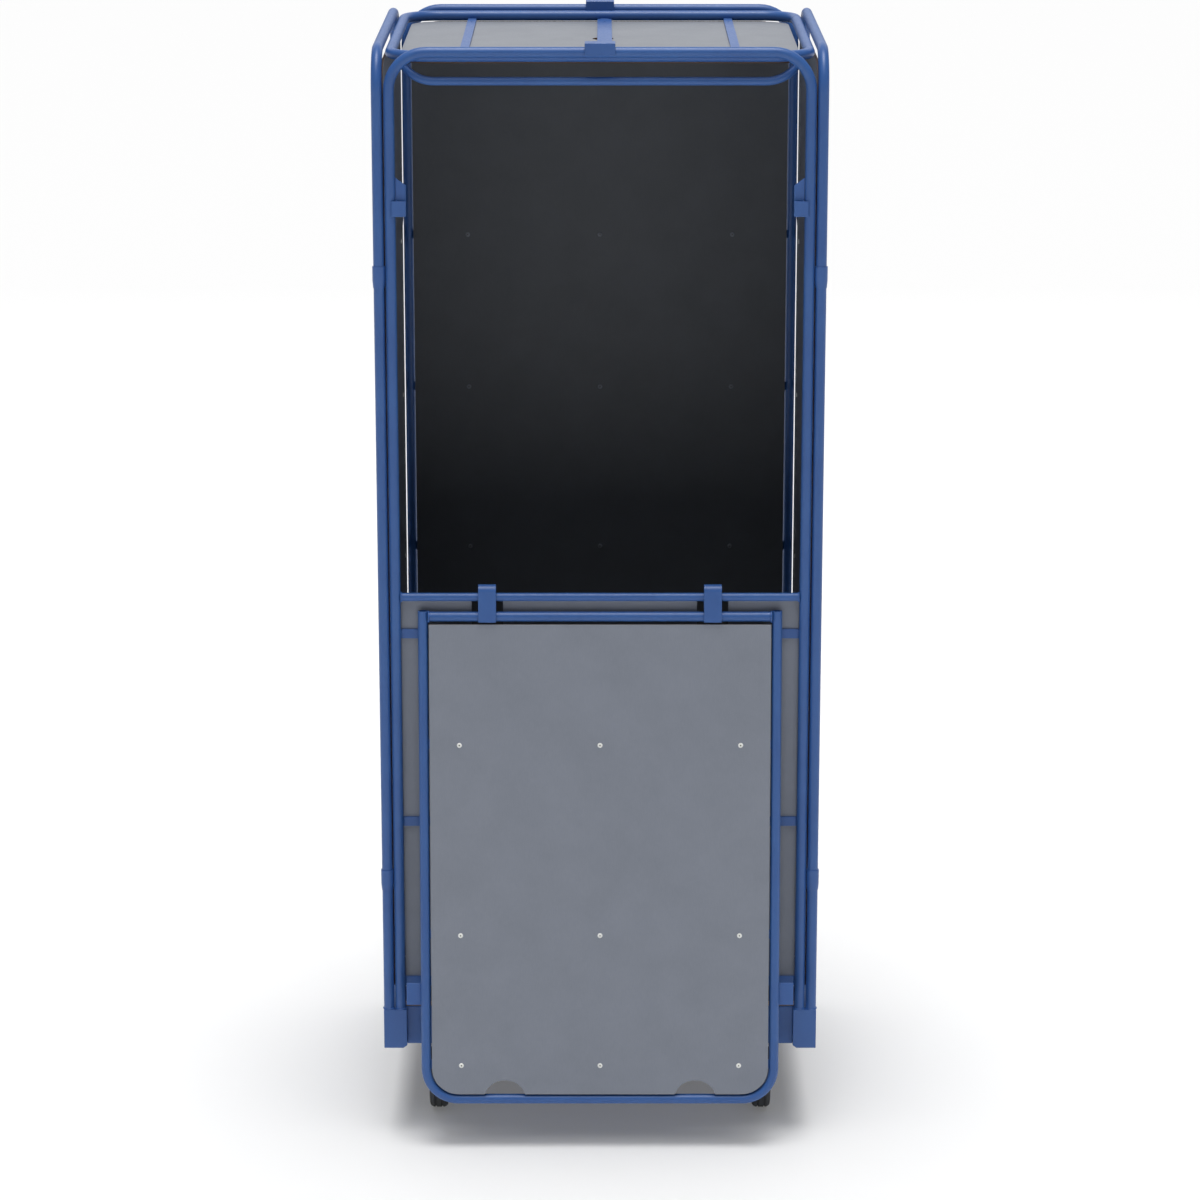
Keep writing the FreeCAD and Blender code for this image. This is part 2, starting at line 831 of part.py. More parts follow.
def swivel_fork():
    """Swivelling fork: crown, lower race, two legs and the pedal's cross pin."""
    out = fork_in + fork_t
    crown = box(-out, out, -30, 30, fork_top - fork_t, fork_top)
    race = Part.makeCylinder(ring_r, 8, Vector(0, 0, fork_top))
    left = fork_leg(-out, trail, fork_top, True)
    right = fork_leg(fork_in, trail, fork_top, True)
    pin = rod(3, Vector(-fork_in, pedal_y, pedal_z), Vector(fork_in, pedal_y, pedal_z))
    bore = rod(axle_r + slip, Vector(0, 0, fork_top - 20), Vector(0, 0, fork_top + 20))
    return crown.fuse([race, left, right, pin]).cut(bore).removeSplitter()


def fixed_fork():
    """Fixed fork: crown against the plate and two straight legs."""
    out = fork_in + fork_t
    top = block_low - plate_t
    crown = box(-out, out, -30, 30, top - fork_t, top)
    left = fork_leg(-out, 0, top, False)
    right = fork_leg(fork_in, 0, top, False)
    return crown.fuse([left, right]).removeSplitter()


def axle(wheel_y):
    """Axle bolt with its head and nut outside the fork legs."""
    out = fork_in + fork_t
    end = out + 7
    shaft = rod(axle_r, Vector(-out, wheel_y, wheel_r), Vector(end, wheel_y, wheel_r))
    head = hex_prism(16, 6, Vector(0, 0, 0))
    head.rotate(Vector(0, 0, 0), Y_AXIS, -90)
    nut = head.copy()
    head.translate(Vector(-out, wheel_y, wheel_r))
    nut.translate(Vector(out + 6, wheel_y, wheel_r))
    return shaft.fuse([head, nut]).removeSplitter()


def turned(points, wheel_y):
    """Ring made by turning a profile of (radius, x) points about the axle."""
    corners = [Vector(x, wheel_y, wheel_r + radius) for radius, x in points]
    wire = Part.makePolygon(corners + [corners[0]])
    centre = Vector(0, wheel_y, wheel_r)
    return Part.Face(wire).revolve(centre, X_AXIS, 360)


def rim(wheel_y):
    """Wheel centre: hub, web and rim ring."""
    bore = axle_r + slip
    half_hub = hub_w / 2
    half_rim = wheel_w / 2 - 2
    web = 4.0
    points = [
        (bore, -half_hub),
        (hub_r, -half_hub),
        (hub_r + 3, -web),
        (rim_r - 7, -web),
        (rim_r - 5, -half_rim),
        (rim_r, -half_rim),
        (rim_r, half_rim),
        (rim_r - 5, half_rim),
        (rim_r - 7, web),
        (hub_r + 3, web),
        (hub_r, half_hub),
        (bore, half_hub),
    ]
    return turned(points, wheel_y)


def tyre(wheel_y):
    """Rubber tread on the rim, with eased shoulders."""
    half = wheel_w / 2
    points = [
        (rim_r + 0.2, -half + 1),
        (wheel_r - 8, -half),
        (wheel_r - 2.5, -half + 3.5),
        (wheel_r, -half + 9),
        (wheel_r, half - 9),
        (wheel_r - 2.5, half - 3.5),
        (wheel_r - 8, half),
        (rim_r + 0.2, half - 1),
    ]
    return turned(points, wheel_y)


def brake_pedal():
    """Foot pedal on the fork's cross pin, with a cam lobe that presses on the tread."""
    half = pedal_w / 2
    start = Vector(-half, pedal_y, pedal_z)
    barrel = Part.makeCylinder(6, pedal_w, start, X_AXIS)
    lever = [
        Vector(-half, pedal_y, pedal_z + 5.5),
        Vector(-half, pedal_y + 34, pedal_z + 11),
        Vector(-half, pedal_y + 40, pedal_z + 6),
        Vector(-half, pedal_y + 34, pedal_z + 6.5),
        Vector(-half, pedal_y, pedal_z + 1),
    ]
    lobe = [
        Vector(-half, pedal_y - 2, pedal_z),
        Vector(-half, pedal_y + 2, pedal_z - 8),
        Vector(-half, pedal_y + 6, pedal_z - 2),
    ]
    run = Vector(pedal_w, 0, 0)
    body = barrel.fuse([prism(lever, run), prism(lobe, run)])
    bore = Part.makeCylinder(3 + slip, pedal_w + 2, start - X_AXIS, X_AXIS)
    return body.cut(bore).removeSplitter()


def castor_bolt():
    """Bolt through a castor plate and the beam: head below, nut above."""
    low = block_low - plate_t
    head = hex_prism(13, 4, Vector(0, 0, low - 4))
    nut = hex_prism(13, 5, Vector(0, 0, rail_low))
    shank = rod(bolt_r, Vector(0, 0, low - 4), Vector(0, 0, rail_low + 8))
    return head.fuse([nut, shank]).removeSplitter()


def at(shape, x, y):
    """A copy of a castor piece moved to its place on the chassis."""
    shape = shape.copy()
    shape.translate(Vector(x, y, 0))
    return shape


# ---------------------------------------------------------------- assembly


def save_chassis():
    block = corner_block()
    rear_block = to_rear(block)
    blocks = [block, mirrored(block), rear_block, mirrored(rear_block)]
    save("corner_blocks", blocks)
    save("end_rails", [end_rail(), to_rear(end_rail())])
    save("side_rails", [side_rail(), mirrored(side_rail())])
    save("castor_beams", [castor_beam(), to_rear(castor_beam())])
    save("deck_panel", [deck_panel()])
    points = deck_bolt_points(1) + deck_bolt_points(-1)
    save("deck_bolts", [deck_bolt(p) for p in points])


def save_walls():
    side_tube = portal(side_x, 0, side_x, depth)
    bars = side_bars()
    panel = side_panel()
    save("side_frame_right", [side_tube])
    save("side_frame_left", [mirrored(side_tube)])
    save("side_bars_right", bars)
    save("side_bars_left", [mirrored(b) for b in bars])
    save("side_panel_right", [panel])
    save("side_panel_left", [mirrored(panel)])
    save("back_frame", [portal(-post_x, depth, post_x, depth)])
    save("back_bars", [to_rear(b) for b in cross_bars(levels)])
    save("back_panel", [back_panel()])
    save("front_frame", [portal(-post_x, 0, post_x, 0)])
    save("front_bars", cross_bars(lower_levels))
    save("front_panel", [front_panel()])
    rivets = side_rivets()
    rivets += [mirrored(r) for r in rivets]
    rivets += [to_rear(r) for r in cross_rivets(levels)]
    rivets += cross_rivets(lower_levels)
    save("wall_rivets", rivets)
    save("hinge_bar", [hinge_bar()])
    save("keeper_right", [keeper()])
    save("keeper_left", [mirrored(keeper())])
    collars = []
    for z in collar_levels:
        for x in (-side_x, side_x):
            for y in (0, depth):
                collars.append(collar(x, y, z))
    save("corner_collars", collars)


def save_roof():
    save("roof_frame", [roof_frame()])
    save("roof_sleeve", [roof_sleeve()])
    bars = [roof_bar(x, roof_bar_side_w) for x in (-roof_bar_side, roof_bar_side)]
    bars.append(roof_bar(roof_bar_mid, roof_bar_mid_w))
    save("roof_bars", bars)
    save("roof_panel", [roof_panel()])
    save("roof_rivets", roof_rivets())
    save("roof_hook_front", [roof_hook()])
    save("roof_hook_rear", [roof_hook_rear()])
    save("stop_bar", [stop_bar()])


def save_flap():
    save("flap_frame", [hang(flap_frame())])
    save("flap_top_rail", [hang(flap_top_rail())])
    save("flap_bars", [hang(b) for b in flap_bars()])
    save("flap_panel", [hang(flap_panel())])
    save("flap_rivets", [hang(r) for r in flap_rivets()])
    save("flap_tab_right", [hang(flap_tab())])
    save("flap_tab_left", [hang(mirrored(flap_tab()))])
    save("hinge_strap_left", [hang(hinge_strap(-strap_x))])
    save("hinge_strap_right", [hang(hinge_strap(strap_x))])
    save("slide_block_left", [hang(slide_block(-strap_x))])
    save("slide_block_right", [hang(slide_block(strap_x))])


def save_castors():
    rear_y = depth - castor_y
    plates = []
    bolts = []
    for side in (-1, 1):
        x = side * castor_x
        plates.append(at(swivel_plate(), x, castor_y))
        plates.append(at(top_plate(), x, rear_y))
        for y in (castor_y, rear_y):
            for corner in bolt_corners():
                bolts.append(at(castor_bolt(), x + corner.x, y + corner.y))
    save("castor_plates", plates)
    save("castor_bolts", bolts)
    for name, side in (("left", -1), ("right", 1)):
        x = side * castor_x
        save("front_fork_" + name, [at(swivel_fork(), x, castor_y)])
        save("front_axle_" + name, [at(axle(trail), x, castor_y)])
        save("front_rim_" + name, [at(rim(trail), x, castor_y)])
        save("front_tyre_" + name, [at(tyre(trail), x, castor_y)])
        save("brake_pedal_" + name, [at(brake_pedal(), x, castor_y)])
        save("rear_rim_" + name, [at(rim(0), x, rear_y)])
        save("rear_tyre_" + name, [at(tyre(0), x, rear_y)])
    sides = (-castor_x, castor_x)
    save("rear_forks", [at(fixed_fork(), x, rear_y) for x in sides])
    save("rear_axles", [at(axle(0), x, rear_y) for x in sides])


save_chassis()
save_walls()
save_roof()
save_flap()
save_castors()
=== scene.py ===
# %% [markdown]
# # A roofed roll trolley that serves as a book drop
#
# The object is a tall cage on four castors: bent steel tube, powder coated blue, with
# grey laminate sheets riveted to flat bars inside it. Its half-height front flap hangs
# open. The CAD model is loaded first as a fixed frame. It gives every place and size in
# metres, so that nothing here has to be fitted by eye.

# %% Load the frame
import json
import math

import bpy
import numpy as np
from mathutils import Matrix, Vector

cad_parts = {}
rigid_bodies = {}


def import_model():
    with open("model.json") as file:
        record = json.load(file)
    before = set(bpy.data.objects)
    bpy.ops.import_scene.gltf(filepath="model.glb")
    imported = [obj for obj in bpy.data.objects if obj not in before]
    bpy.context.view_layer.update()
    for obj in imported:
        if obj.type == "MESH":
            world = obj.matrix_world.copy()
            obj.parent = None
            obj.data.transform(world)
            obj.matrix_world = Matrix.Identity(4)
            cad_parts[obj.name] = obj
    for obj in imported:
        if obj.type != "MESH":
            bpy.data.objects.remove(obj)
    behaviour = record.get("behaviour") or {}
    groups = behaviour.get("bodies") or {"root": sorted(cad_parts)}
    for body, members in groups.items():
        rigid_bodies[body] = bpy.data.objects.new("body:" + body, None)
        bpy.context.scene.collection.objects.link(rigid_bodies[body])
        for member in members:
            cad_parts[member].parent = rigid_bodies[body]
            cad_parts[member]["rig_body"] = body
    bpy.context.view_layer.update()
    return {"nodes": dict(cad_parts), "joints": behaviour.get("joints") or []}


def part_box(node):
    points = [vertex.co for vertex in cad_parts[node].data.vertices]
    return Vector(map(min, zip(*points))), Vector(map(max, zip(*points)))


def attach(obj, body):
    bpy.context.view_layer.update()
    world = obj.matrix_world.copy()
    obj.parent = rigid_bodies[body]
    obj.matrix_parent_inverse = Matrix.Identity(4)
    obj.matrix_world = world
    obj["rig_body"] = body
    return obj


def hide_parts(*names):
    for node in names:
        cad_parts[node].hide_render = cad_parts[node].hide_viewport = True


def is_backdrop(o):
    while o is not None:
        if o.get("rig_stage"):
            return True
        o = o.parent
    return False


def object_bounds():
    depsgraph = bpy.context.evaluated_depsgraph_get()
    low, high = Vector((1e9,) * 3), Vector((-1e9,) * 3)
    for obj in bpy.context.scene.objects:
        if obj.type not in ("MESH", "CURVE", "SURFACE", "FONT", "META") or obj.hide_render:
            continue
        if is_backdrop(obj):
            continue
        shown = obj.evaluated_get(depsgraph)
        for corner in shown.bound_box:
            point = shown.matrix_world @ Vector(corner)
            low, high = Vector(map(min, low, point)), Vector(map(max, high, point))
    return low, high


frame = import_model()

MM = 0.001
nodes = frame["nodes"]

# %% [markdown]
# ## Small helpers
#
# Blender's operators act on whatever is selected, so every step starts by clearing the
# selection. A finished piece keeps its object at the origin and has its place in its
# mesh, as a CAD node does; then a pattern that reads Object coordinates stays put.

# %% Selection and placing


def only(piece):
    """Make one object the selected and active one."""
    bpy.ops.object.select_all(action="DESELECT")
    piece.select_set(True)
    bpy.context.view_layer.objects.active = piece


def settle(piece):
    """Move an object's place, turn and size into its mesh."""
    only(piece)
    bpy.ops.object.transform_apply(location=True, rotation=True, scale=True)
    return piece


def copy_at(piece, matrix):
    """A copy of a piece with its own mesh, moved by a matrix."""
    copy = piece.copy()
    copy.data = piece.data.copy()
    copy.data.transform(matrix)
    bpy.context.scene.collection.objects.link(copy)
    return copy


def joined(copies, name):
    """Several objects as one piece."""
    bpy.ops.object.select_all(action="DESELECT")
    for copy in copies:
        copy.select_set(True)
    bpy.context.view_layer.objects.active = copies[0]
    if len(copies) > 1:
        bpy.ops.object.join()
    piece = bpy.context.view_layer.objects.active
    piece.name = name
    piece.data.name = name
    return piece


def discard(piece):
    """Remove a pattern object once its copies are made."""
    bpy.data.objects.remove(piece, do_unlink=True)


# %% [markdown]
# A node can hold several solids, such as the six bars of one wall. To know where each
# one is, a copy of the node is merged and separated into its loose parts. Only the
# places of their vertices are kept.

# %% Find the separate solids of a node


def merged_copy(node):
    """A copy of a CAD node whose loose triangles are merged into closed shells."""
    piece = copy_at(nodes[node], Matrix.Identity(4))
    for key in list(piece.keys()):
        del piece[key]
    piece.parent = None
    only(piece)
    bpy.ops.object.mode_set(mode="EDIT")
    bpy.ops.mesh.select_all(action="SELECT")
    bpy.ops.mesh.remove_doubles(threshold=0.002 * MM)
    bpy.ops.object.mode_set(mode="OBJECT")
    return piece


def solids_of(node):
    """Vertex arrays of a node's separate solids."""
    merged_copy(node)
    bpy.ops.mesh.separate(type="LOOSE")
    parts = list(bpy.context.selected_objects)
    found = [np.array([v.co for v in part.data.vertices]) for part in parts]
    for part in parts:
        discard(part)
    return found


bar_solids = {n: solids_of(n) for n in nodes if "_bars" in n}
print("flat bars found:", {n: len(s) for n, s in bar_solids.items()})

# %% [markdown]
# The flap hangs with a slight lean. The direction of its sliding joint gives that lean,
# and with it a matrix that takes flap coordinates (Z along the flap) to the frame.

# %% The flap's own directions
drop_axis = next(j["axis"] for j in frame["joints"] if j["name"] == "flap_drop")
lean = math.atan2(drop_axis[1], drop_axis[2])
flap_turn = Matrix.Rotation(-lean, 4, "X")
print("flap lean in degrees:", round(math.degrees(lean), 2))

# %% [markdown]
# ## Finishes
#
# Each finish is a small node tree on Blender's Principled shader. Colours are written
# as sRGB hex values, because that is how paint charts give them, and one function turns
# them linear. One function adds a node with its settings and links.

# %% Colour and node helpers


def linear(hex_colour):
    """Linear RGBA of an sRGB hex colour."""
    channels = [int(hex_colour[i : i + 2], 16) / 255 for i in (1, 3, 5)]
    curve = [
        c / 12.92 if c <= 0.04045 else ((c + 0.055) / 1.055) ** 2.4 for c in channels
    ]
    return (*curve, 1.0)


def add(tree, kind, settings, links):
    """Add one node, set its values and plug its inputs."""
    node = tree.nodes.new(kind)
    for key, value in settings.items():
        if isinstance(key, int) or key in node.inputs:
            node.inputs[key].default_value = value
        else:
            setattr(node, key, value)
    for key, socket in links.items():
        tree.links.new(socket, node.inputs[key])
    return node


# The shader's own IOR. Paint, paper and resin are close to it, and a metal keeps it.
DEFAULT_IOR = 1.5


def start_finish(name, roughness, metallic, ior):
    """A new material with the constants set on its shader's own sockets."""
    material = bpy.data.materials.new(name)
    material.use_nodes = True
    tree = material.node_tree
    shader = tree.nodes["Principled BSDF"]
    shader.inputs["Roughness"].default_value = roughness
    shader.inputs["Metallic"].default_value = metallic
    shader.inputs["IOR"].default_value = ior
    coords = add(tree, "ShaderNodeTexCoord", {}, {}).outputs["Object"]
    return material, tree, shader, coords


# %% [markdown]
# ### Blue powder coat on steel
#
# Epoxy-polyester powder is sprayed on dry and baked. It flows out to a satin film with
# a faint orange peel, a few millimetres from crest to crest, and its tone drifts a
# little where the film is thicker. The steel below never shows on a new trolley, so the
# shader is a dielectric with an IOR near 1.5.

# %% Powder coat

PEEL_WAVE = 3.0 * MM
TONE_DRIFT = 90.0 * MM


def powder_coat(name, low_tone, high_tone, peel_depth):
    """Satin powder coat with orange peel and a slow drift of tone."""
    material, tree, shader, coords = start_finish(
        name, roughness=0.42, metallic=0.0, ior=DEFAULT_IOR
    )
    drift = add(
        tree,
        "ShaderNodeTexNoise",
        {"Scale": 1 / TONE_DRIFT, "Detail": 4.0, "Roughness": 0.6},
        {"Vector": coords},
    )
    tone = add(tree, "ShaderNodeValToRGB", {}, {"Fac": drift.outputs["Fac"]})
    tone.color_ramp.elements[0].position = 0.3
    tone.color_ramp.elements[0].color = linear(low_tone)
    tone.color_ramp.elements[1].position = 0.7
    tone.color_ramp.elements[1].color = linear(high_tone)
    tree.links.new(tone.outputs["Color"], shader.inputs["Base Color"])
    peel = add(
        tree,
        "ShaderNodeTexNoise",
        {"Scale": 1 / PEEL_WAVE, "Detail": 2.0, "Roughness": 0.5},
        {"Vector": coords},
    )
    gloss = add(
        tree,
        "ShaderNodeMapRange",
        {"From Min": 0.3, "From Max": 0.7, "To Min": 0.36, "To Max": 0.48},
        {"Value": peel.outputs["Fac"]},
    )
    tree.links.new(gloss.outputs["Result"], shader.inputs["Roughness"])
    bump = add(
        tree,
        "ShaderNodeBump",
        {"Strength": 0.5, "Distance": peel_depth},
        {"Height": peel.outputs["Fac"]},
    )
    tree.links.new(bump.outputs["Normal"], shader.inputs["Normal"])
    return material


blue_on_tube = powder_coat("blue_powder_coat_on_tube", "#30599A", "#3561A2", 0.12 * MM)
blue_on_sheet = powder_coat(
    "blue_powder_coat_on_sheet", "#31599A", "#3661A3", 0.16 * MM
)
print("powder coats:", blue_on_tube.name, blue_on_sheet.name)

# %% [markdown]
# ### Grey laminate with a brown core
#
# The walls are thin compact laminate: kraft paper pressed with resin, which leaves a
# brown cut edge, under a grey decor sheet with a fine fibrous grain. The grain is about
# 0.3 mm on the real sheet, too fine to show, so it is drawn 1.6 mm wide. It runs up the
# walls and from front to back on the roof. The back wall's laminate is painted darker:
# that is painted shade, standing in for the shade inside the roofed cage. The face and
# the cut edge are two finishes, shared out face by face.

# %% Laminate face and cut edge

GRAIN_WIDTH = 1.6 * MM
GRAIN_LENGTH = 14.0 * MM
CLOUD = 70.0 * MM
PAPER_LAYER = 0.8 * MM
GRAIN_SHARE = 0.45


def laminate_face(name, low_tone, high_tone, grain_scale):
    """Matt decor paper: soft clouds, a fine drawn-out grain and a little relief."""
    material, tree, shader, coords = start_finish(
        name, roughness=0.55, metallic=0.0, ior=DEFAULT_IOR
    )
    stretched = add(
        tree, "ShaderNodeMapping", {"Scale": grain_scale}, {"Vector": coords}
    )
    grain = add(
        tree,
        "ShaderNodeTexNoise",
        {"Scale": 1.0, "Detail": 3.0, "Roughness": 0.65},
        {"Vector": stretched.outputs["Vector"]},
    )
    cloud = add(
        tree,
        "ShaderNodeTexNoise",
        {"Scale": 1 / CLOUD, "Detail": 5.0, "Roughness": 0.6},
        {"Vector": coords},
    )
    mixed = add(
        tree,
        "ShaderNodeMix",
        {0: GRAIN_SHARE},
        {2: cloud.outputs["Fac"], 3: grain.outputs["Fac"]},
    )
    tone = add(tree, "ShaderNodeValToRGB", {}, {"Fac": mixed.outputs[0]})
    tone.color_ramp.elements[0].position = 0.35
    tone.color_ramp.elements[0].color = linear(low_tone)
    tone.color_ramp.elements[1].position = 0.65
    tone.color_ramp.elements[1].color = linear(high_tone)
    tree.links.new(tone.outputs["Color"], shader.inputs["Base Color"])
    gloss = add(
        tree,
        "ShaderNodeMapRange",
        {"From Min": 0.3, "From Max": 0.7, "To Min": 0.5, "To Max": 0.62},
        {"Value": grain.outputs["Fac"]},
    )
    tree.links.new(gloss.outputs["Result"], shader.inputs["Roughness"])
    bump = add(
        tree,
        "ShaderNodeBump",
        {"Strength": 0.35, "Distance": 0.08 * MM},
        {"Height": grain.outputs["Fac"]},
    )
    tree.links.new(bump.outputs["Normal"], shader.inputs["Normal"])
    return material


across, along = 1 / GRAIN_WIDTH, 1 / GRAIN_LENGTH
grain_up, grain_back = (across, across, along), (across, along, across)
grey_wall = laminate_face("grey_laminate_upright", "#808692", "#878D9A", grain_up)
# Painted shade: the back board's grey is darkened to stand in for the shade inside the
# roofed cage.
back_wall_painted_shade = laminate_face("grey_laminate_painted_shade", "#4E5258", "#54585F", grain_up)
grey_roof = laminate_face("grey_laminate_flat", "#7E828A", "#878B93", grain_back)

brown_core, tree, shader, coords = start_finish(
    "brown_kraft_cut_edge", roughness=0.7, metallic=0.0, ior=DEFAULT_IOR
)
layers = add(
    tree,
    "ShaderNodeTexNoise",
    {"Scale": 1 / PAPER_LAYER, "Detail": 2.0},
    {"Vector": coords},
)
tone = add(tree, "ShaderNodeValToRGB", {}, {"Fac": layers.outputs["Fac"]})
tone.color_ramp.elements[0].color = linear("#3A2A20")
tone.color_ramp.elements[1].color = linear("#6B523F")
tree.links.new(tone.outputs["Color"], shader.inputs["Base Color"])
print("laminates:", grey_wall.name, back_wall_painted_shade.name, grey_roof.name, brown_core.name)

# %% [markdown]
# ### Film-faced birch board
#
# The loading floor is plywood with a dark phenolic film, printed with a wire-mesh
# pattern that keeps loads from sliding. The real mesh is about 5 mm, and it is drawn a
# little coarser, at 6 mm. The board's cut edge shows birch plies 1.4 mm thick.

# %% Deck film and ply edge

MESH_PITCH = 6.0 * MM
PLY = 1.4 * MM
# A band wave repeats every 0.314 / scale metres, and two plies make one wave.
WAVE_TO_METRES = 0.314

deck_film, tree, shader, coords = start_finish(
    "brown_phenolic_mesh_film", roughness=0.45, metallic=0.0, ior=1.55
)
mesh = add(
    tree,
    "ShaderNodeTexVoronoi",
    {"feature": "DISTANCE_TO_EDGE", "Scale": 1 / MESH_PITCH, "Randomness": 0.25},
    {"Vector": coords},
)
tone = add(tree, "ShaderNodeValToRGB", {}, {"Fac": mesh.outputs["Distance"]})
tone.color_ramp.elements[0].color = linear("#2A1C15")
tone.color_ramp.elements[1].position = 0.18
tone.color_ramp.elements[1].color = linear("#46342A")
tree.links.new(tone.outputs["Color"], shader.inputs["Base Color"])
bump = add(
    tree,
    "ShaderNodeBump",
    {"Strength": 0.6, "Distance": 0.3 * MM},
    {"Height": tone.outputs["Color"]},
)
tree.links.new(bump.outputs["Normal"], shader.inputs["Normal"])

birch_edge, tree, shader, coords = start_finish(
    "birch_ply_edge", roughness=0.75, metallic=0.0, ior=DEFAULT_IOR
)
plies = add(
    tree,
    "ShaderNodeTexWave",
    {
        "wave_type": "BANDS",
        "bands_direction": "Z",
        "Scale": WAVE_TO_METRES / (2 * PLY),
        "Distortion": 1.0,
        "Detail": 2.0,
    },
    {"Vector": coords},
)
tone = add(tree, "ShaderNodeValToRGB", {}, {"Fac": plies.outputs["Fac"]})
tone.color_ramp.elements[0].color = linear("#8A6B48")
tone.color_ramp.elements[1].color = linear("#C6A67C")
tree.links.new(tone.outputs["Color"], shader.inputs["Base Color"])
print("deck finishes:", deck_film.name, birch_edge.name)

# %% [markdown]
# ### Zinc-plated steel, lacquered rivets, rubber and moulded plastics
#
# Castor forks are pressed steel with a bright zinc plating: a metal whose gloss varies
# in small cloudy spangles. A metal keeps the shader's default IOR, because its colour
# already holds its reflectance. Rivet heads are lacquered white or grey, the treads are
# grey non-marking rubber with the matt skin of a mould, the wheel centres are grained
# polypropylene, the slide blocks are black nylon and the pedals stove enamelled.
#
# All of these are one node tree with other values: a noise of one grain size moves the
# tone, the gloss and a fine relief together.

# %% Metals, rubber and plastics


def plain_finish(name, tones, grain, roughness, metallic, ior, depth):
    """A finish whose tone and gloss wander between two values over one grain size."""
    material, tree, shader, coords = start_finish(name, roughness[0], metallic, ior)
    noise = add(
        tree,
        "ShaderNodeTexNoise",
        {"Scale": 1 / grain, "Detail": 3.0, "Roughness": 0.6},
        {"Vector": coords},
    )
    tone = add(tree, "ShaderNodeValToRGB", {}, {"Fac": noise.outputs["Fac"]})
    tone.color_ramp.elements[0].position = 0.3
    tone.color_ramp.elements[0].color = linear(tones[0])
    tone.color_ramp.elements[1].position = 0.7
    tone.color_ramp.elements[1].color = linear(tones[1])
    tree.links.new(tone.outputs["Color"], shader.inputs["Base Color"])
    gloss = add(
        tree,
        "ShaderNodeMapRange",
        {
            "From Min": 0.3,
            "From Max": 0.7,
            "To Min": roughness[0],
            "To Max": roughness[1],
        },
        {"Value": noise.outputs["Fac"]},
    )
    tree.links.new(gloss.outputs["Result"], shader.inputs["Roughness"])
    bump = add(
        tree,
        "ShaderNodeBump",
        {"Strength": 0.4, "Distance": depth},
        {"Height": noise.outputs["Fac"]},
    )
    tree.links.new(bump.outputs["Normal"], shader.inputs["Normal"])
    return material


bright_zinc = plain_finish(
    "bright_zinc_plated_steel",
    tones=("#A9ACB0", "#C4C6C8"),
    grain=5 * MM,
    roughness=(0.28, 0.45),
    metallic=1.0,
    ior=DEFAULT_IOR,
    depth=0.05 * MM,
)
white_rivet = plain_finish(
    "white_lacquered_rivet",
    tones=("#F0F0ED", "#F8F8F5"),
    grain=1 * MM,
    roughness=(0.32, 0.42),
    metallic=0.0,
    ior=DEFAULT_IOR,
    depth=0.02 * MM,
)
grey_rivet = plain_finish(
    "grey_lacquered_rivet",
    tones=("#6E737D", "#797E88"),
    grain=1 * MM,
    roughness=(0.45, 0.55),
    metallic=0.0,
    ior=DEFAULT_IOR,
    depth=0.02 * MM,
)
mandrel_steel = plain_finish(
    "broken_steel_mandrel",
    tones=("#55524E", "#7A7671"),
    grain=0.4 * MM,
    roughness=(0.5, 0.65),
    metallic=1.0,
    ior=DEFAULT_IOR,
    depth=0.05 * MM,
)
grey_rubber = plain_finish(
    "grey_moulded_rubber",
    tones=("#3F4143", "#4B4D50"),
    grain=2 * MM,
    roughness=(0.75, 0.88),
    metallic=0.0,
    ior=1.52,
    depth=0.08 * MM,
)
wheel_plastic = plain_finish(
    "grained_polypropylene",
    tones=("#5E6266", "#696D71"),
    grain=1.5 * MM,
    roughness=(0.5, 0.62),
    metallic=0.0,
    ior=1.49,
    depth=0.06 * MM,
)
black_nylon = plain_finish(
    "black_nylon",
    tones=("#121214", "#1B1B1E"),
    grain=1.5 * MM,
    roughness=(0.4, 0.5),
    metallic=0.0,
    ior=1.53,
    depth=0.04 * MM,
)
pedal_paint = plain_finish(
    "black_stove_enamel",
    tones=("#141517", "#1E2023"),
    grain=2.5 * MM,
    roughness=(0.3, 0.4),
    metallic=0.0,
    ior=DEFAULT_IOR,
    depth=0.05 * MM,
)
print("other finishes:", bright_zinc.name, white_rivet.name, grey_rubber.name)

# %% [markdown]
# ## Tubes
#
# The bent tubes, bars and rods keep their CAD meshes, whose shape is exact. They only
# take the paint.

# %% Paint the tubes
TUBES = (
    "back_frame front_frame side_frame_left side_frame_right roof_frame roof_sleeve "
    "hinge_bar stop_bar flap_frame flap_top_rail"
).split()
for name in TUBES:
    nodes[name].data.materials.clear()
    nodes[name].data.materials.append(blue_on_tube)
print("tubes painted:", len(TUBES))

# %% [markdown]
# ## Sheet metal, bars and boards with real edges
#
# No cut or pressed edge is perfectly sharp: shearing leaves a small radius and the
# paint rounds it further, and that thin line of light is what makes an edge look real.
# The CAD meshes have sharp corners. So each of these pieces is a merged copy of its CAD
# node with a narrow bevel on every sharp edge, which stands in for that node.

# %% Soften the edges of a copy

SHARP = math.radians(35)
FLAT = math.radians(0.5)


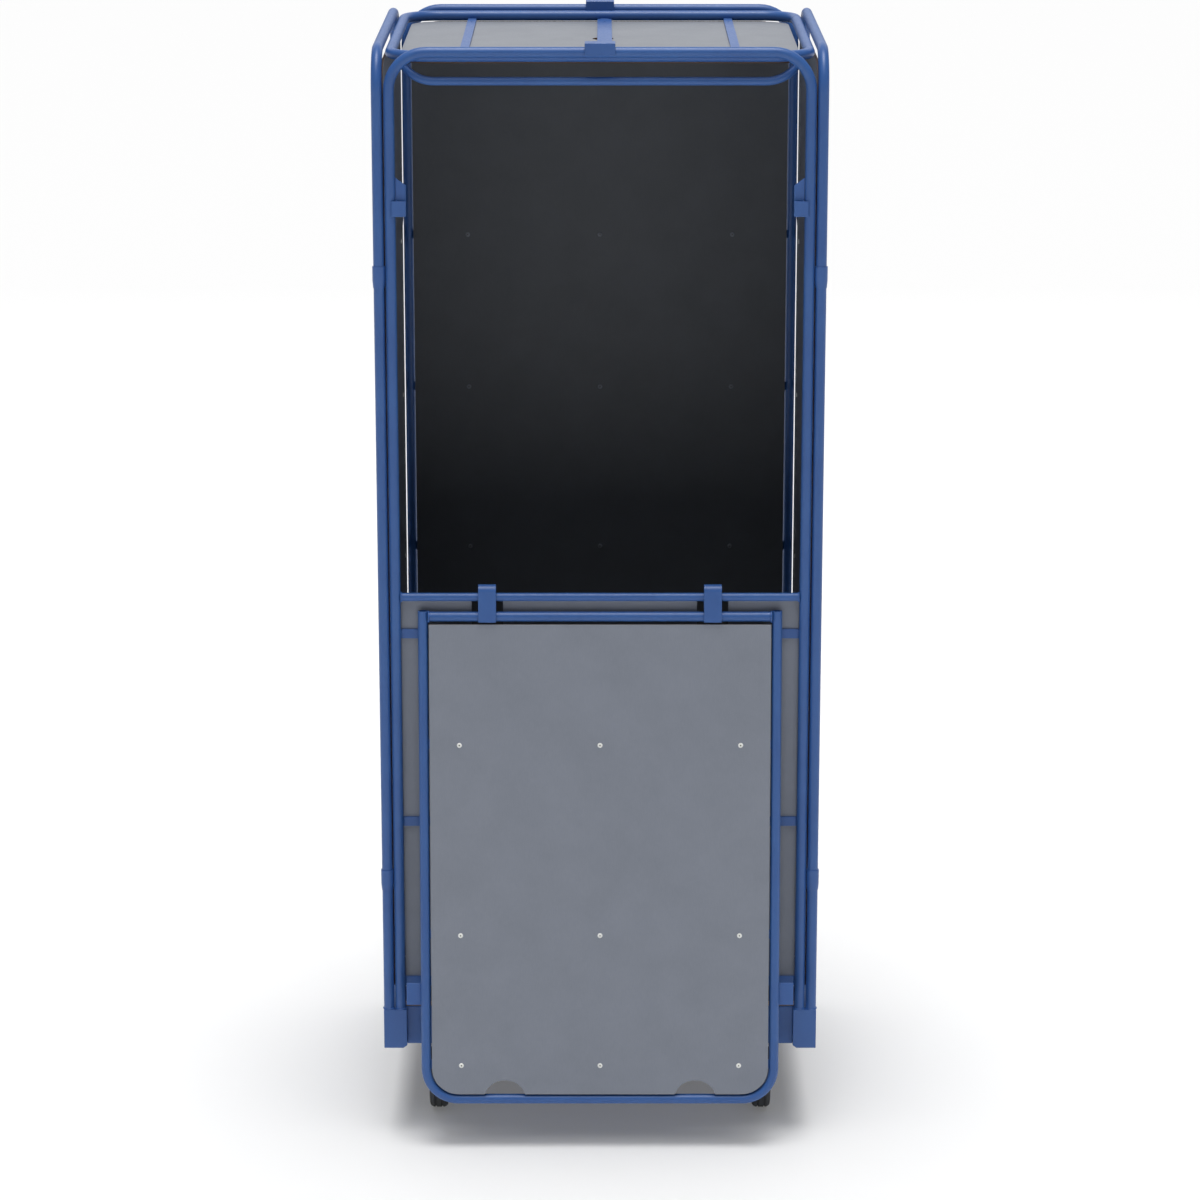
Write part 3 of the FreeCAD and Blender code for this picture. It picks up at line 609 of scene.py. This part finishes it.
def softened(node, width, finish, body, steps=2):
    """A copy of a CAD node with rounded edges, which replaces it."""
    piece = merged_copy(node)
    piece.name = node + "_finished"
    piece.data.name = piece.name
    piece.data.materials.clear()
    piece.data.materials.append(finish)
    bpy.ops.object.mode_set(mode="EDIT")
    bpy.ops.mesh.select_all(action="SELECT")
    bpy.ops.mesh.dissolve_limited(angle_limit=FLAT)
    bpy.ops.object.mode_set(mode="OBJECT")
    bevel = piece.modifiers.new("edge radius", "BEVEL")
    bevel.width = width
    bevel.segments = steps
    bevel.limit_method = "ANGLE"
    bevel.angle_limit = SHARP
    bevel.miter_outer = "MITER_ARC"
    bpy.ops.object.modifier_apply(modifier=bevel.name)
    bpy.ops.object.shade_smooth_by_angle(angle=SHARP)
    even = piece.modifiers.new("flat faces stay flat", "WEIGHTED_NORMAL")
    even.keep_sharp = True
    even.weight = 100
    bpy.ops.object.modifier_apply(modifier=even.name)
    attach(piece, body)
    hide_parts(node)
    return piece


body_of_node = {n: nodes[n]["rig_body"] for n in nodes}

SHEET_PARTS = {
    "corner_blocks": 0.8,
    "corner_collars": 0.35,
    "end_rails": 0.6,
    "side_rails": 0.6,
    "castor_beams": 0.6,
    "roof_hook_front": 0.6,
    "roof_hook_rear": 0.6,
    "keeper_left": 0.5,
    "keeper_right": 0.5,
    "flap_tab_left": 0.6,
    "flap_tab_right": 0.6,
    "hinge_strap_left": 0.5,
    "hinge_strap_right": 0.5,
    "side_bars_left": 0.5,
    "side_bars_right": 0.5,
    "back_bars": 0.5,
    "front_bars": 0.5,
    "roof_bars": 0.5,
    "flap_bars": 0.5,
}
for name, width in SHEET_PARTS.items():
    softened(name, width * MM, blue_on_sheet, body_of_node[name])
print("painted sheet parts:", len(SHEET_PARTS))

# %% [markdown]
# The boards get the same treatment, and then their narrow faces take the finish of the
# cut edge. Which faces those are follows from their normals: a face that doesn't look
# along the board's thickness belongs to the edge.

# %% Boards with their cut edges

# A unit direction with at least this much along an axis counts as looking along it.
LOOKS_ALONG = 0.9


def board(node, thickness_axis, face_finish, edge_finish, width):
    """A board with softened edges, its cut edge in a finish of its own."""
    piece = softened(node, width, face_finish, body_of_node[node])
    piece.data.materials.append(edge_finish)
    axis = Vector(thickness_axis)
    cut_faces = 0
    for polygon in piece.data.polygons:
        if abs(polygon.normal.dot(axis)) < LOOKS_ALONG:
            polygon.material_index = 1
            cut_faces += 1
    return cut_faces


WALL_EDGE = 0.3 * MM
DECK_EDGE = 0.6 * MM
WALLS = {
    "front_panel": ((0, 1, 0), grey_wall),
    # The back panel takes the laminate with painted shade.
    "back_panel": ((0, 1, 0), back_wall_painted_shade),
    "side_panel_left": ((1, 0, 0), grey_wall),
    "side_panel_right": ((1, 0, 0), grey_wall),
    "roof_panel": ((0, 0, 1), grey_roof),
    "flap_panel": ((0, 1, 0), grey_wall),
}
cut = {}
for name, (thickness_axis, face) in WALLS.items():
    cut[name] = board(name, thickness_axis, face, brown_core, WALL_EDGE)
cut["deck_panel"] = board(
    "deck_panel", (0, 0, 1), deck_film, birch_edge, DECK_EDGE
)
print("faces on cut edges:", cut)

# %% [markdown]
# ## Running gear
#
# Plates, forks, bolts and axles are pressed or turned steel, so they are softened
# copies too, in bright zinc. The slide blocks are nylon and the pedals black enamel.

# %% Castor steel, slide blocks and pedals
ZINC_PARTS = {
    "castor_plates": 0.6,
    "castor_bolts": 0.4,
    "rear_forks": 0.6,
    "rear_axles": 0.4,
}
for side in ("left", "right"):
    ZINC_PARTS["front_fork_" + side] = 0.6
    ZINC_PARTS["front_axle_" + side] = 0.4
for name, width in ZINC_PARTS.items():
    softened(name, width * MM, bright_zinc, body_of_node[name])
softened("deck_bolts", 0.3 * MM, bright_zinc, "cart")
for side in ("left", "right"):
    softened("slide_block_" + side, 0.4 * MM, black_nylon, "slide_blocks")
    softened("brake_pedal_" + side, 0.8 * MM, pedal_paint, "pedal_" + side, 3)
print("zinc parts:", len(ZINC_PARTS))

# %% [markdown]
# ## Turned shapes
#
# Rivet heads, weld rings, tyres and wheel centres are all shapes of revolution. They
# could be spun from a drawn profile; here a circle is added and its rim is extruded
# and resized from station to station, which is how one would do it by hand and keeps
# the ring count under control.

# %% Build a shape ring by ring


def turned(name, stations, sides, closed):
    """A shape of revolution about Z through (height, radius) stations."""
    first_height, first_radius = stations[0]
    bpy.ops.object.select_all(action="DESELECT")
    bpy.ops.mesh.primitive_circle_add(
        vertices=sides, radius=first_radius, location=(0, 0, first_height)
    )
    piece = settle(bpy.context.view_layer.objects.active)
    piece.name = name
    bpy.ops.object.mode_set(mode="EDIT")
    bpy.ops.mesh.select_mode(type="EDGE")
    bpy.ops.mesh.select_all(action="SELECT")
    if not closed:
        bpy.ops.mesh.edge_face_add()
        bpy.ops.mesh.select_all(action="SELECT")
    height, radius = first_height, first_radius
    for next_height, next_radius in stations[1:]:
        bpy.ops.mesh.extrude_region_move(
            TRANSFORM_OT_translate={"value": (0, 0, next_height - height)}
        )
        scale = next_radius / radius
        bpy.ops.transform.resize(
            value=(scale, scale, 1), center_override=(0, 0, next_height)
        )
        height, radius = next_height, next_radius
    bpy.ops.mesh.select_all(action="SELECT")
    if closed:
        bpy.ops.mesh.select_all(action="DESELECT")
        bpy.ops.mesh.select_non_manifold()
        bpy.ops.mesh.bridge_edge_loops()
        bpy.ops.mesh.select_all(action="SELECT")
    bpy.ops.mesh.remove_doubles(threshold=0.001 * MM)
    bpy.ops.mesh.normals_make_consistent(inside=False)
    bpy.ops.object.mode_set(mode="OBJECT")
    bpy.ops.object.shade_smooth_by_angle(angle=SHARP)
    return piece


def in_mm(*stations):
    """Stations written in millimetres, in metres."""
    return [(height * MM, radius * MM) for height, radius in stations]


def both_sides(stations):
    """Stations in millimetres from one side to the middle, then their mirror image."""
    left = [(-height, radius) for height, radius in stations]
    return in_mm(*left, *reversed(stations))


def facing(direction):
    """Rotation that turns Z to a direction."""
    return Vector(direction).to_track_quat("Z", "Y").to_matrix().to_4x4()


# %% [markdown]
# ## Blind rivets
#
# A blind rivet has a low domed head with a dark pit where its steel mandrel broke off,
# and a swollen tail on the blind side. One head, one mandrel stub and one tail are
# modelled, then copied to every place where the CAD has a rivet. A rivet's seat is
# where its CAD solid is widest. The heads on the back wall are lacquered in the grey of
# the sheet, so that they hardly show from inside the cage.

# %% One rivet
HEAD_R = 4.3
rivet_head = turned(
    "rivet_head",
    in_mm(
        (0.0, HEAD_R),
        (0.3, HEAD_R),
        (0.65, 4.05),
        (1.0, 3.5),
        (1.3, 2.7),
        (1.45, 1.9),
        (1.42, 1.45),
        (0.75, 1.3),
    ),
    sides=20,
    closed=False,
)
rivet_head.data.materials.append(white_rivet)
grey_head = copy_at(rivet_head, Matrix.Identity(4))
grey_head.data.materials.clear()
grey_head.data.materials.append(grey_rivet)
mandrel = turned(
    "mandrel",
    in_mm((0.7, 1.15), (0.95, 1.15), (1.08, 0.85), (1.02, 0.4)),
    sides=12,
    closed=False,
)
mandrel.data.materials.append(mandrel_steel)
rivet_tail = turned(
    "rivet_tail",
    in_mm(
        (0.0, 2.0),
        (-8.0, 2.0),
        (-8.05, 2.9),
        (-8.8, 3.25),
        (-9.7, 3.0),
        (-10.4, 2.3),
    ),
    sides=14,
    closed=False,
)
rivet_tail.data.materials.append(white_rivet)
patterns = (rivet_head, mandrel, rivet_tail)
print("rivet faces:", sum(len(pattern.data.polygons) for pattern in patterns))

# %% Set the rivets

# A vertex this near the head's rim counts as on it, in millimetres.
RIM_SLACK = 0.15


def rivet_seats(node, axes):
    """Seat centre and outward direction of every rivet in a node."""
    seats = []
    for points in solids_of(node):
        middle = (points.min(0) + points.max(0)) / 2
        axis = max(axes, key=lambda a: np.ptp(points @ np.array(a)))
        heights = (points - middle) @ np.array(axis)
        offsets = points - middle - np.outer(heights, axis)
        widest = points[np.linalg.norm(offsets, axis=1) > (HEAD_R - RIM_SLACK) * MM]
        seat = (widest.min(0) + widest.max(0)) / 2
        sign = 1.0 if (seat - middle) @ np.array(axis) > 0 else -1.0
        seats.append((Vector(seat), Vector(axis) * sign))
    return seats


def set_rivets(node, axes, body, with_tails, name):
    """All the rivets of one node as one piece."""
    copies = []
    for seat, outward in rivet_seats(node, axes):
        place = Matrix.Translation(seat) @ facing(outward)
        on_back_wall = outward.y < -LOOKS_ALONG and seat.y > 0
        head = grey_head if on_back_wall else rivet_head
        copies.append(copy_at(head, place))
        copies.append(copy_at(mandrel, place))
        if with_tails:
            copies.append(copy_at(rivet_tail, place))
    count = len(copies)
    piece = joined(copies, name)
    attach(piece, body)
    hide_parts(node)
    return count


flap_out = tuple(flap_turn @ Vector((0, 1, 0)))
wall_axes = [(1, 0, 0), (0, 1, 0)]
walls = set_rivets("wall_rivets", wall_axes, "cart", True, "wall_blind_rivets")
roof = set_rivets("roof_rivets", [(0, 0, 1)], "cart", False, "roof_blind_rivets")
flap = set_rivets("flap_rivets", [flap_out], "flap", True, "flap_blind_rivets")
for pattern in (rivet_head, grey_head, mandrel, rivet_tail):
    discard(pattern)
print("rivet pieces on walls, roof and flap:", walls, roof, flap)

# %% [markdown]
# ## Weld beads
#
# The frames are MIG welded. A bead is a small rippled ridge: each puddle of metal
# freezes over the one before it. A straight bead is turned ring by ring with alternate
# radii, and a ring bead round a tube is a torus whose rings swell and shrink in turn.
# Both are painted over with the same powder coat.

# %% A straight bead and a ring bead

BEAD_R = 1.5 * MM
BEAD_TIP = 0.5 * MM
BEAD_SIDES = 8
RIPPLE = 2.0 * MM
# The radius between two puddles, as a share of the bead's.
VALLEY = 0.8
RING_BEAD_R = 0.85 * BEAD_R
RING_SWELL = 0.25 * MM


def straight_bead(length):
    """A rippled bead of one length, lying along Z about its middle."""
    count = max(3, round(length / RIPPLE))
    stations = [(-length / 2, BEAD_TIP)]
    for k in range(2 * count - 1):
        radius = BEAD_R if k % 2 == 0 else BEAD_R * VALLEY
        stations.append((-length / 2 + length * (k + 1) / (2 * count), radius))
    stations.append((length / 2, BEAD_TIP))
    return turned("bead", stations, sides=BEAD_SIDES, closed=False)


def ring_bead(radius):
    """A rippled bead round a tube whose axis is Z."""
    bpy.ops.object.select_all(action="DESELECT")
    puddles = round(2 * math.pi * radius / RIPPLE)
    bpy.ops.mesh.primitive_torus_add(
        major_segments=2 * puddles,
        minor_segments=BEAD_SIDES,
        major_radius=radius,
        minor_radius=RING_BEAD_R,
    )
    piece = settle(bpy.context.view_layer.objects.active)
    for vertex in piece.data.vertices:
        ring = vertex.index // BEAD_SIDES
        vertex.select = ring % 2 == 0
    bpy.ops.object.mode_set(mode="EDIT")
    bpy.ops.mesh.select_mode(type="VERT")
    bpy.ops.transform.shrink_fatten(value=RING_SWELL)
    bpy.ops.object.mode_set(mode="OBJECT")
    bpy.ops.object.shade_smooth_by_angle(angle=math.radians(60))
    return piece


BAR_BEAD = 15 * MM
short_bead = straight_bead(BAR_BEAD)
print("straight bead faces:", len(short_bead.data.polygons))

# %% [markdown]
# Every flat bar is welded at both ends, on both of its faces. Its ends are the two
# extremes of its solid along its length, and each bead runs along the end's height, in
# the corner between a face and the tube.

# %% Beads at the ends of the flat bars

BAR_BEAD_IN = 0.9 * MM


def bar_end_beads(node, turn, length_axis, face_axis):
    """Beads at both ends of each bar, on both of its faces."""
    copies = []
    back = turn.inverted()
    height_axis = 3 - length_axis - face_axis
    upright = Vector((0, 0, 0))
    upright[height_axis] = 1.0
    for points in bar_solids[node]:
        local = np.array([back @ Vector(p) for p in points])
        low, high = local.min(0), local.max(0)
        for end in (low, high):
            for face in (low, high):
                spot = Vector((low + high) / 2)
                inward = BAR_BEAD_IN if end is low else -BAR_BEAD_IN
                spot[length_axis] = end[length_axis] + inward
                spot[face_axis] = face[face_axis]
                place = turn @ Matrix.Translation(spot) @ facing(upright)
                copies.append(copy_at(short_bead, place))
    return copies


X, Y, Z = range(3)
CART_BARS = {
    "front_bars": (X, Y),
    "back_bars": (X, Y),
    "side_bars_left": (Y, X),
    "side_bars_right": (Y, X),
    "roof_bars": (Y, Z),
}
cart_beads = []
for name, (length_axis, face_axis) in CART_BARS.items():
    cart_beads += bar_end_beads(name, Matrix.Identity(4), length_axis, face_axis)
flap_beads = bar_end_beads("flap_bars", flap_turn, X, Y)
print("bar beads:", len(cart_beads), len(flap_beads))

# %% [markdown]
# Rings go round the ends of the hinge bar and of the flap's top rail, and round the
# feet of the frames. Straight beads hold the hinge straps to the rail and the hook tabs
# to the flap's frame.

# %% Ring beads where tubes meet, beads on straps and tabs
TUBE_R = 9.0 * MM
FOOT_RING_R = 9.2 * MM
RING_OVER = 0.3 * MM
RING_IN = 1.0 * MM
# The flap rises 16 mm and moves back 1.3 mm when it is lifted, so the rings on its rail
# sit forward, clear of the wall behind them.
RAIL_RING_FORWARD = 1.1 * MM
STRAP_BEAD = 28 * MM
STRAP_BEAD_OUT, STRAP_BEAD_DOWN = 8.5 * MM, 7.5 * MM
TAB_BEAD = 34 * MM
TAB_BEAD_UP = 1.2 * MM
bar_low, bar_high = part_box("hinge_bar")
hinge_centre = (bar_low + bar_high) / 2
rail_low, rail_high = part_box("flap_top_rail")
rail_centre = (rail_low + rail_high) / 2
small_ring = ring_bead((bar_high.z - bar_low.z) / 2 + RING_OVER)
rail_ring = ring_bead((rail_high.z - rail_low.z) / 2 + RING_OVER)
for side in (-1, 1):
    end = Vector((side * (bar_high.x - RING_IN), hinge_centre.y, hinge_centre.z))
    cart_beads.append(copy_at(small_ring, Matrix.Translation(end) @ facing((1, 0, 0))))
    end_y = rail_centre.y - RAIL_RING_FORWARD
    end = Vector((side * (rail_high.x - RING_IN), end_y, rail_centre.z))
    flap_beads.append(copy_at(rail_ring, Matrix.Translation(end) @ facing((1, 0, 0))))

foot_ring = ring_bead(FOOT_RING_R)
for name in ("front_frame", "back_frame", "side_frame_left", "side_frame_right"):
    low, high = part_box(name)
    if name.startswith("side"):
        feet = [((low.x + high.x) / 2, y) for y in (low.y + TUBE_R, high.y - TUBE_R)]
    else:
        feet = [(x, (low.y + high.y) / 2) for x in (low.x + TUBE_R, high.x - TUBE_R)]
    for x, y in feet:
        foot = Vector((x, y, low.z + RING_IN))
        cart_beads.append(copy_at(foot_ring, Matrix.Translation(foot)))

strap_bead = straight_bead(STRAP_BEAD)
for side in ("left", "right"):
    low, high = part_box("hinge_strap_" + side)
    middle = (low.x + high.x) / 2
    for direction in (-1, 1):
        offset = flap_turn @ Vector((0, direction * STRAP_BEAD_OUT, -STRAP_BEAD_DOWN))
        spot = Vector((middle, rail_centre.y, rail_centre.z)) + offset
        place = Matrix.Translation(spot) @ facing((1, 0, 0))
        flap_beads.append(copy_at(strap_bead, place))
tab_bead = straight_bead(TAB_BEAD)
for side in ("left", "right"):
    low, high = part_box("flap_tab_" + side)
    inner_x = low.x if side == "right" else high.x
    outward = 1 if side == "right" else -1
    spot_x = inner_x + outward * RING_IN
    spot = Vector((spot_x, low.y + TAB_BEAD_UP, (low.z + high.z) / 2))
    flap_beads.append(copy_at(tab_bead, Matrix.Translation(spot) @ flap_turn))

for beads, body, name in (
    (cart_beads, "cart", "frame_welds"),
    (flap_beads, "flap", "flap_welds"),
):
    piece = joined(beads, name)
    piece.data.materials.clear()
    piece.data.materials.append(blue_on_sheet)
    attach(piece, body)
    print(name, "faces:", len(piece.data.polygons))
for pattern in (short_bead, small_ring, rail_ring, foot_ring, strap_bead, tab_bead):
    discard(pattern)

# %% [markdown]
# ## Wheels
#
# Each tyre is a moulded ring with two drainage grooves and eased shoulders. The wheel
# centre is a polypropylene moulding: a hub, a thin web and a rim, stiffened by ribs.
# The CAD wheels have no grooves and no ribs, and those are what the eye looks for on a
# castor, so both parts are turned again to the same sizes, given in millimetres. The
# ribs are boxes with bevelled edges, set between hub and rim on both sides of the web.

# %% One tyre and one wheel centre
TYRE_R, TYRE_W, RIM_R, HUB_R, HUB_W, BORE_R = 62.5, 32.0, 48.0, 16.0, 40.0, 6.15
half = TYRE_W / 2
tyre_profile = [
    (half - 1, RIM_R + 0.2),
    (half - 0.2, RIM_R + 2),
    (half, RIM_R + 4),
    (half, TYRE_R - 8),
    (half - 0.8, TYRE_R - 4.5),
    (half - 2.8, TYRE_R - 2.2),
    (half - 6, TYRE_R - 0.5),
    (half - 8.6, TYRE_R),
    (half - 9.2, TYRE_R - 1.8),
    (half - 11.2, TYRE_R - 1.8),
    (half - 11.8, TYRE_R),
]
tyre = turned("tyre", both_sides(tyre_profile), sides=72, closed=True)
tyre.data.materials.append(grey_rubber)
rim_half = half - 2
centre_profile = [
    (HUB_W / 2, BORE_R),
    (HUB_W / 2, HUB_R - 4),
    (HUB_W / 2 - 0.6, HUB_R - 3),
    (rim_half, HUB_R - 0.5),
    (4, HUB_R + 1),
    (3.4, HUB_R + 3),
    (3.4, RIM_R - 8),
    (4, RIM_R - 7),
    (rim_half - 0.6, RIM_R - 5),
    (rim_half, RIM_R - 4.4),
    (rim_half, RIM_R - 0.5),
    (rim_half - 0.5, RIM_R),
]
centre = turned("wheel_centre", both_sides(centre_profile), sides=64, closed=True)
print("tyre and centre faces:", len(tyre.data.polygons), len(centre.data.polygons))

# %% Ribs on the wheel centre
RIBS = 8
RIB_THICK, RIB_DEEP, RIB_OUT, RIB_EDGE = 3 * MM, 8 * MM, 6.5 * MM, 0.8 * MM
RIB_LONG = (RIM_R - HUB_R - 4) * MM
RIB_MIDDLE = (RIM_R + HUB_R - 3) / 2 * MM
rib_parts = [centre]
for k in range(RIBS):
    for side in (-1, 1):
        bpy.ops.object.select_all(action="DESELECT")
        bpy.ops.mesh.primitive_cube_add(size=1)
        rib = bpy.context.view_layer.objects.active
        rib.scale = (RIB_LONG, RIB_THICK, RIB_DEEP)
        rib.location = (RIB_MIDDLE, 0, side * RIB_OUT)
        settle(rib)
        bevel = rib.modifiers.new("rib radius", "BEVEL")
        bevel.width = RIB_EDGE
        bevel.segments = 2
        bpy.ops.object.modifier_apply(modifier=bevel.name)
        rib.data.transform(Matrix.Rotation(2 * math.pi * k / RIBS, 4, "Z"))
        rib_parts.append(rib)
centre = joined(rib_parts, "wheel_centre")
bpy.ops.object.shade_smooth_by_angle(angle=SHARP)
centre.data.materials.clear()
centre.data.materials.append(wheel_plastic)
print("wheel centre with ribs:", len(centre.data.polygons), "faces")

# %% Put the wheels on their axles
for end in ("front", "rear"):
    for side in ("left", "right"):
        low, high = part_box(f"{end}_tyre_{side}")
        middle = (low + high) / 2
        place = Matrix.Translation(middle) @ facing((1, 0, 0))
        body = f"{end}_wheel_{side}"
        for pattern, part, slot in (
            (tyre, "tyre", "tread"),
            (centre, "rim", "wheel_core"),
        ):
            copy = copy_at(pattern, place)
            copy.name = f"{end}_{part}_{side}_moulded"
            copy.data.name = copy.name
            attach(copy, body)
            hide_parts(f"{end}_{part}_{side}")
discard(tyre)
discard(centre)
print("wheels placed")

# %% [markdown]
# ## Stage
#
# A plain pale floor, and light as soft as in a studio tent: broad light from above, a
# weaker broad light from the front, and a large softbox behind. The first two are suns
# with a wide angle, because the light then is the same everywhere on the floor and its
# shadows are soft. The softbox gives the upper faces of the roof something pale to
# reflect. The floor has a faint glow of its own, so that the shadow under the trolley
# stays grey and doesn't turn black.

# %% Floor, light and world
FLOOR_SIZE = 120
FLOOR_GLOW = 0.12
WORLD_LIGHT = 0.19
# About half the object's height.
AIM_HEIGHT = 1.0

bpy.ops.object.select_all(action="DESELECT")
bpy.ops.mesh.primitive_plane_add(size=FLOOR_SIZE, location=(0, 0, 0))
floor = bpy.context.view_layer.objects.active
floor.name = "studio_floor"
pale, _, shader, _ = start_finish(
    "pale_studio_floor", roughness=0.9, metallic=0.0, ior=1.4
)
shader.inputs["Base Color"].default_value = linear("#E2E2E2")
shader.inputs["Emission Color"].default_value = linear("#FFFFFF")
shader.inputs["Emission Strength"].default_value = FLOOR_GLOW
floor.data.materials.append(pale)
floor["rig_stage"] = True


def soft_sun(name, strength, spread, elevation, azimuth):
    """A wide sun at an elevation, azimuth 0 being in front of the object."""
    data = bpy.data.lights.new(name, "SUN")
    data.energy = strength
    data.angle = math.radians(spread)
    lamp = bpy.data.objects.new(name, data)
    e, a = math.radians(elevation), math.radians(azimuth)
    away = Vector((math.sin(a) * math.cos(e), -math.cos(a) * math.cos(e), math.sin(e)))
    lamp.rotation_euler = away.to_track_quat("Z", "Y").to_euler()
    bpy.context.scene.collection.objects.link(lamp)


def softbox(name, power, width, height, distance, level):
    """A lit panel behind the object, turned to face its middle."""
    data = bpy.data.lights.new(name, "AREA")
    data.shape = "RECTANGLE"
    data.size, data.size_y = width, height
    data.energy = power
    lamp = bpy.data.objects.new(name, data)
    lamp.location = (0, distance, level)
    away = Vector((0, distance, level - AIM_HEIGHT))
    lamp.rotation_euler = away.to_track_quat("Z", "Y").to_euler()
    bpy.context.scene.collection.objects.link(lamp)


soft_sun("top_light", strength=2.7, spread=32, elevation=88, azimuth=10)
soft_sun("front_light", strength=0.42, spread=24, elevation=60, azimuth=-6)
softbox("back_softbox", power=85, width=8, height=3.4, distance=5.5, level=4.2)
world = bpy.data.worlds.new("studio")
world.use_nodes = True
world.node_tree.nodes["Background"].inputs["Color"].default_value = linear("#FFFFFF")
world.node_tree.nodes["Background"].inputs["Strength"].default_value = WORLD_LIGHT
bpy.context.scene.world = world
bpy.context.scene.view_settings.view_transform = "Standard"
print("stage ready")

# %% [markdown]
# ## Camera
#
# The trolley is seen square from the front, from well above its middle, so that the
# roof shows as a thin strip and the floor rises behind it.

# %% Camera
CAMERA_BACK = 6.5
CAMERA_HIGH = 2.68
CAMERA_DOWN = 14.8
CAMERA_LENS = 119.5
CAMERA_REACH = 200
front_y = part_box("front_frame")[0].y
camera_data = bpy.data.cameras.new("camera")
camera_data.lens = CAMERA_LENS
camera_data.clip_end = CAMERA_REACH
camera = bpy.data.objects.new("camera", camera_data)
camera.location = (0, front_y - CAMERA_BACK, CAMERA_HIGH)
camera.rotation_euler = (math.radians(90 - CAMERA_DOWN), 0, 0)
bpy.context.scene.collection.objects.link(camera)
bpy.context.scene.camera = camera
print("camera looks", CAMERA_DOWN, "degrees down from", CAMERA_HIGH, "m")

# %% Sizes of the visual box
low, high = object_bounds()
print("visual box:", tuple(low), tuple(high))
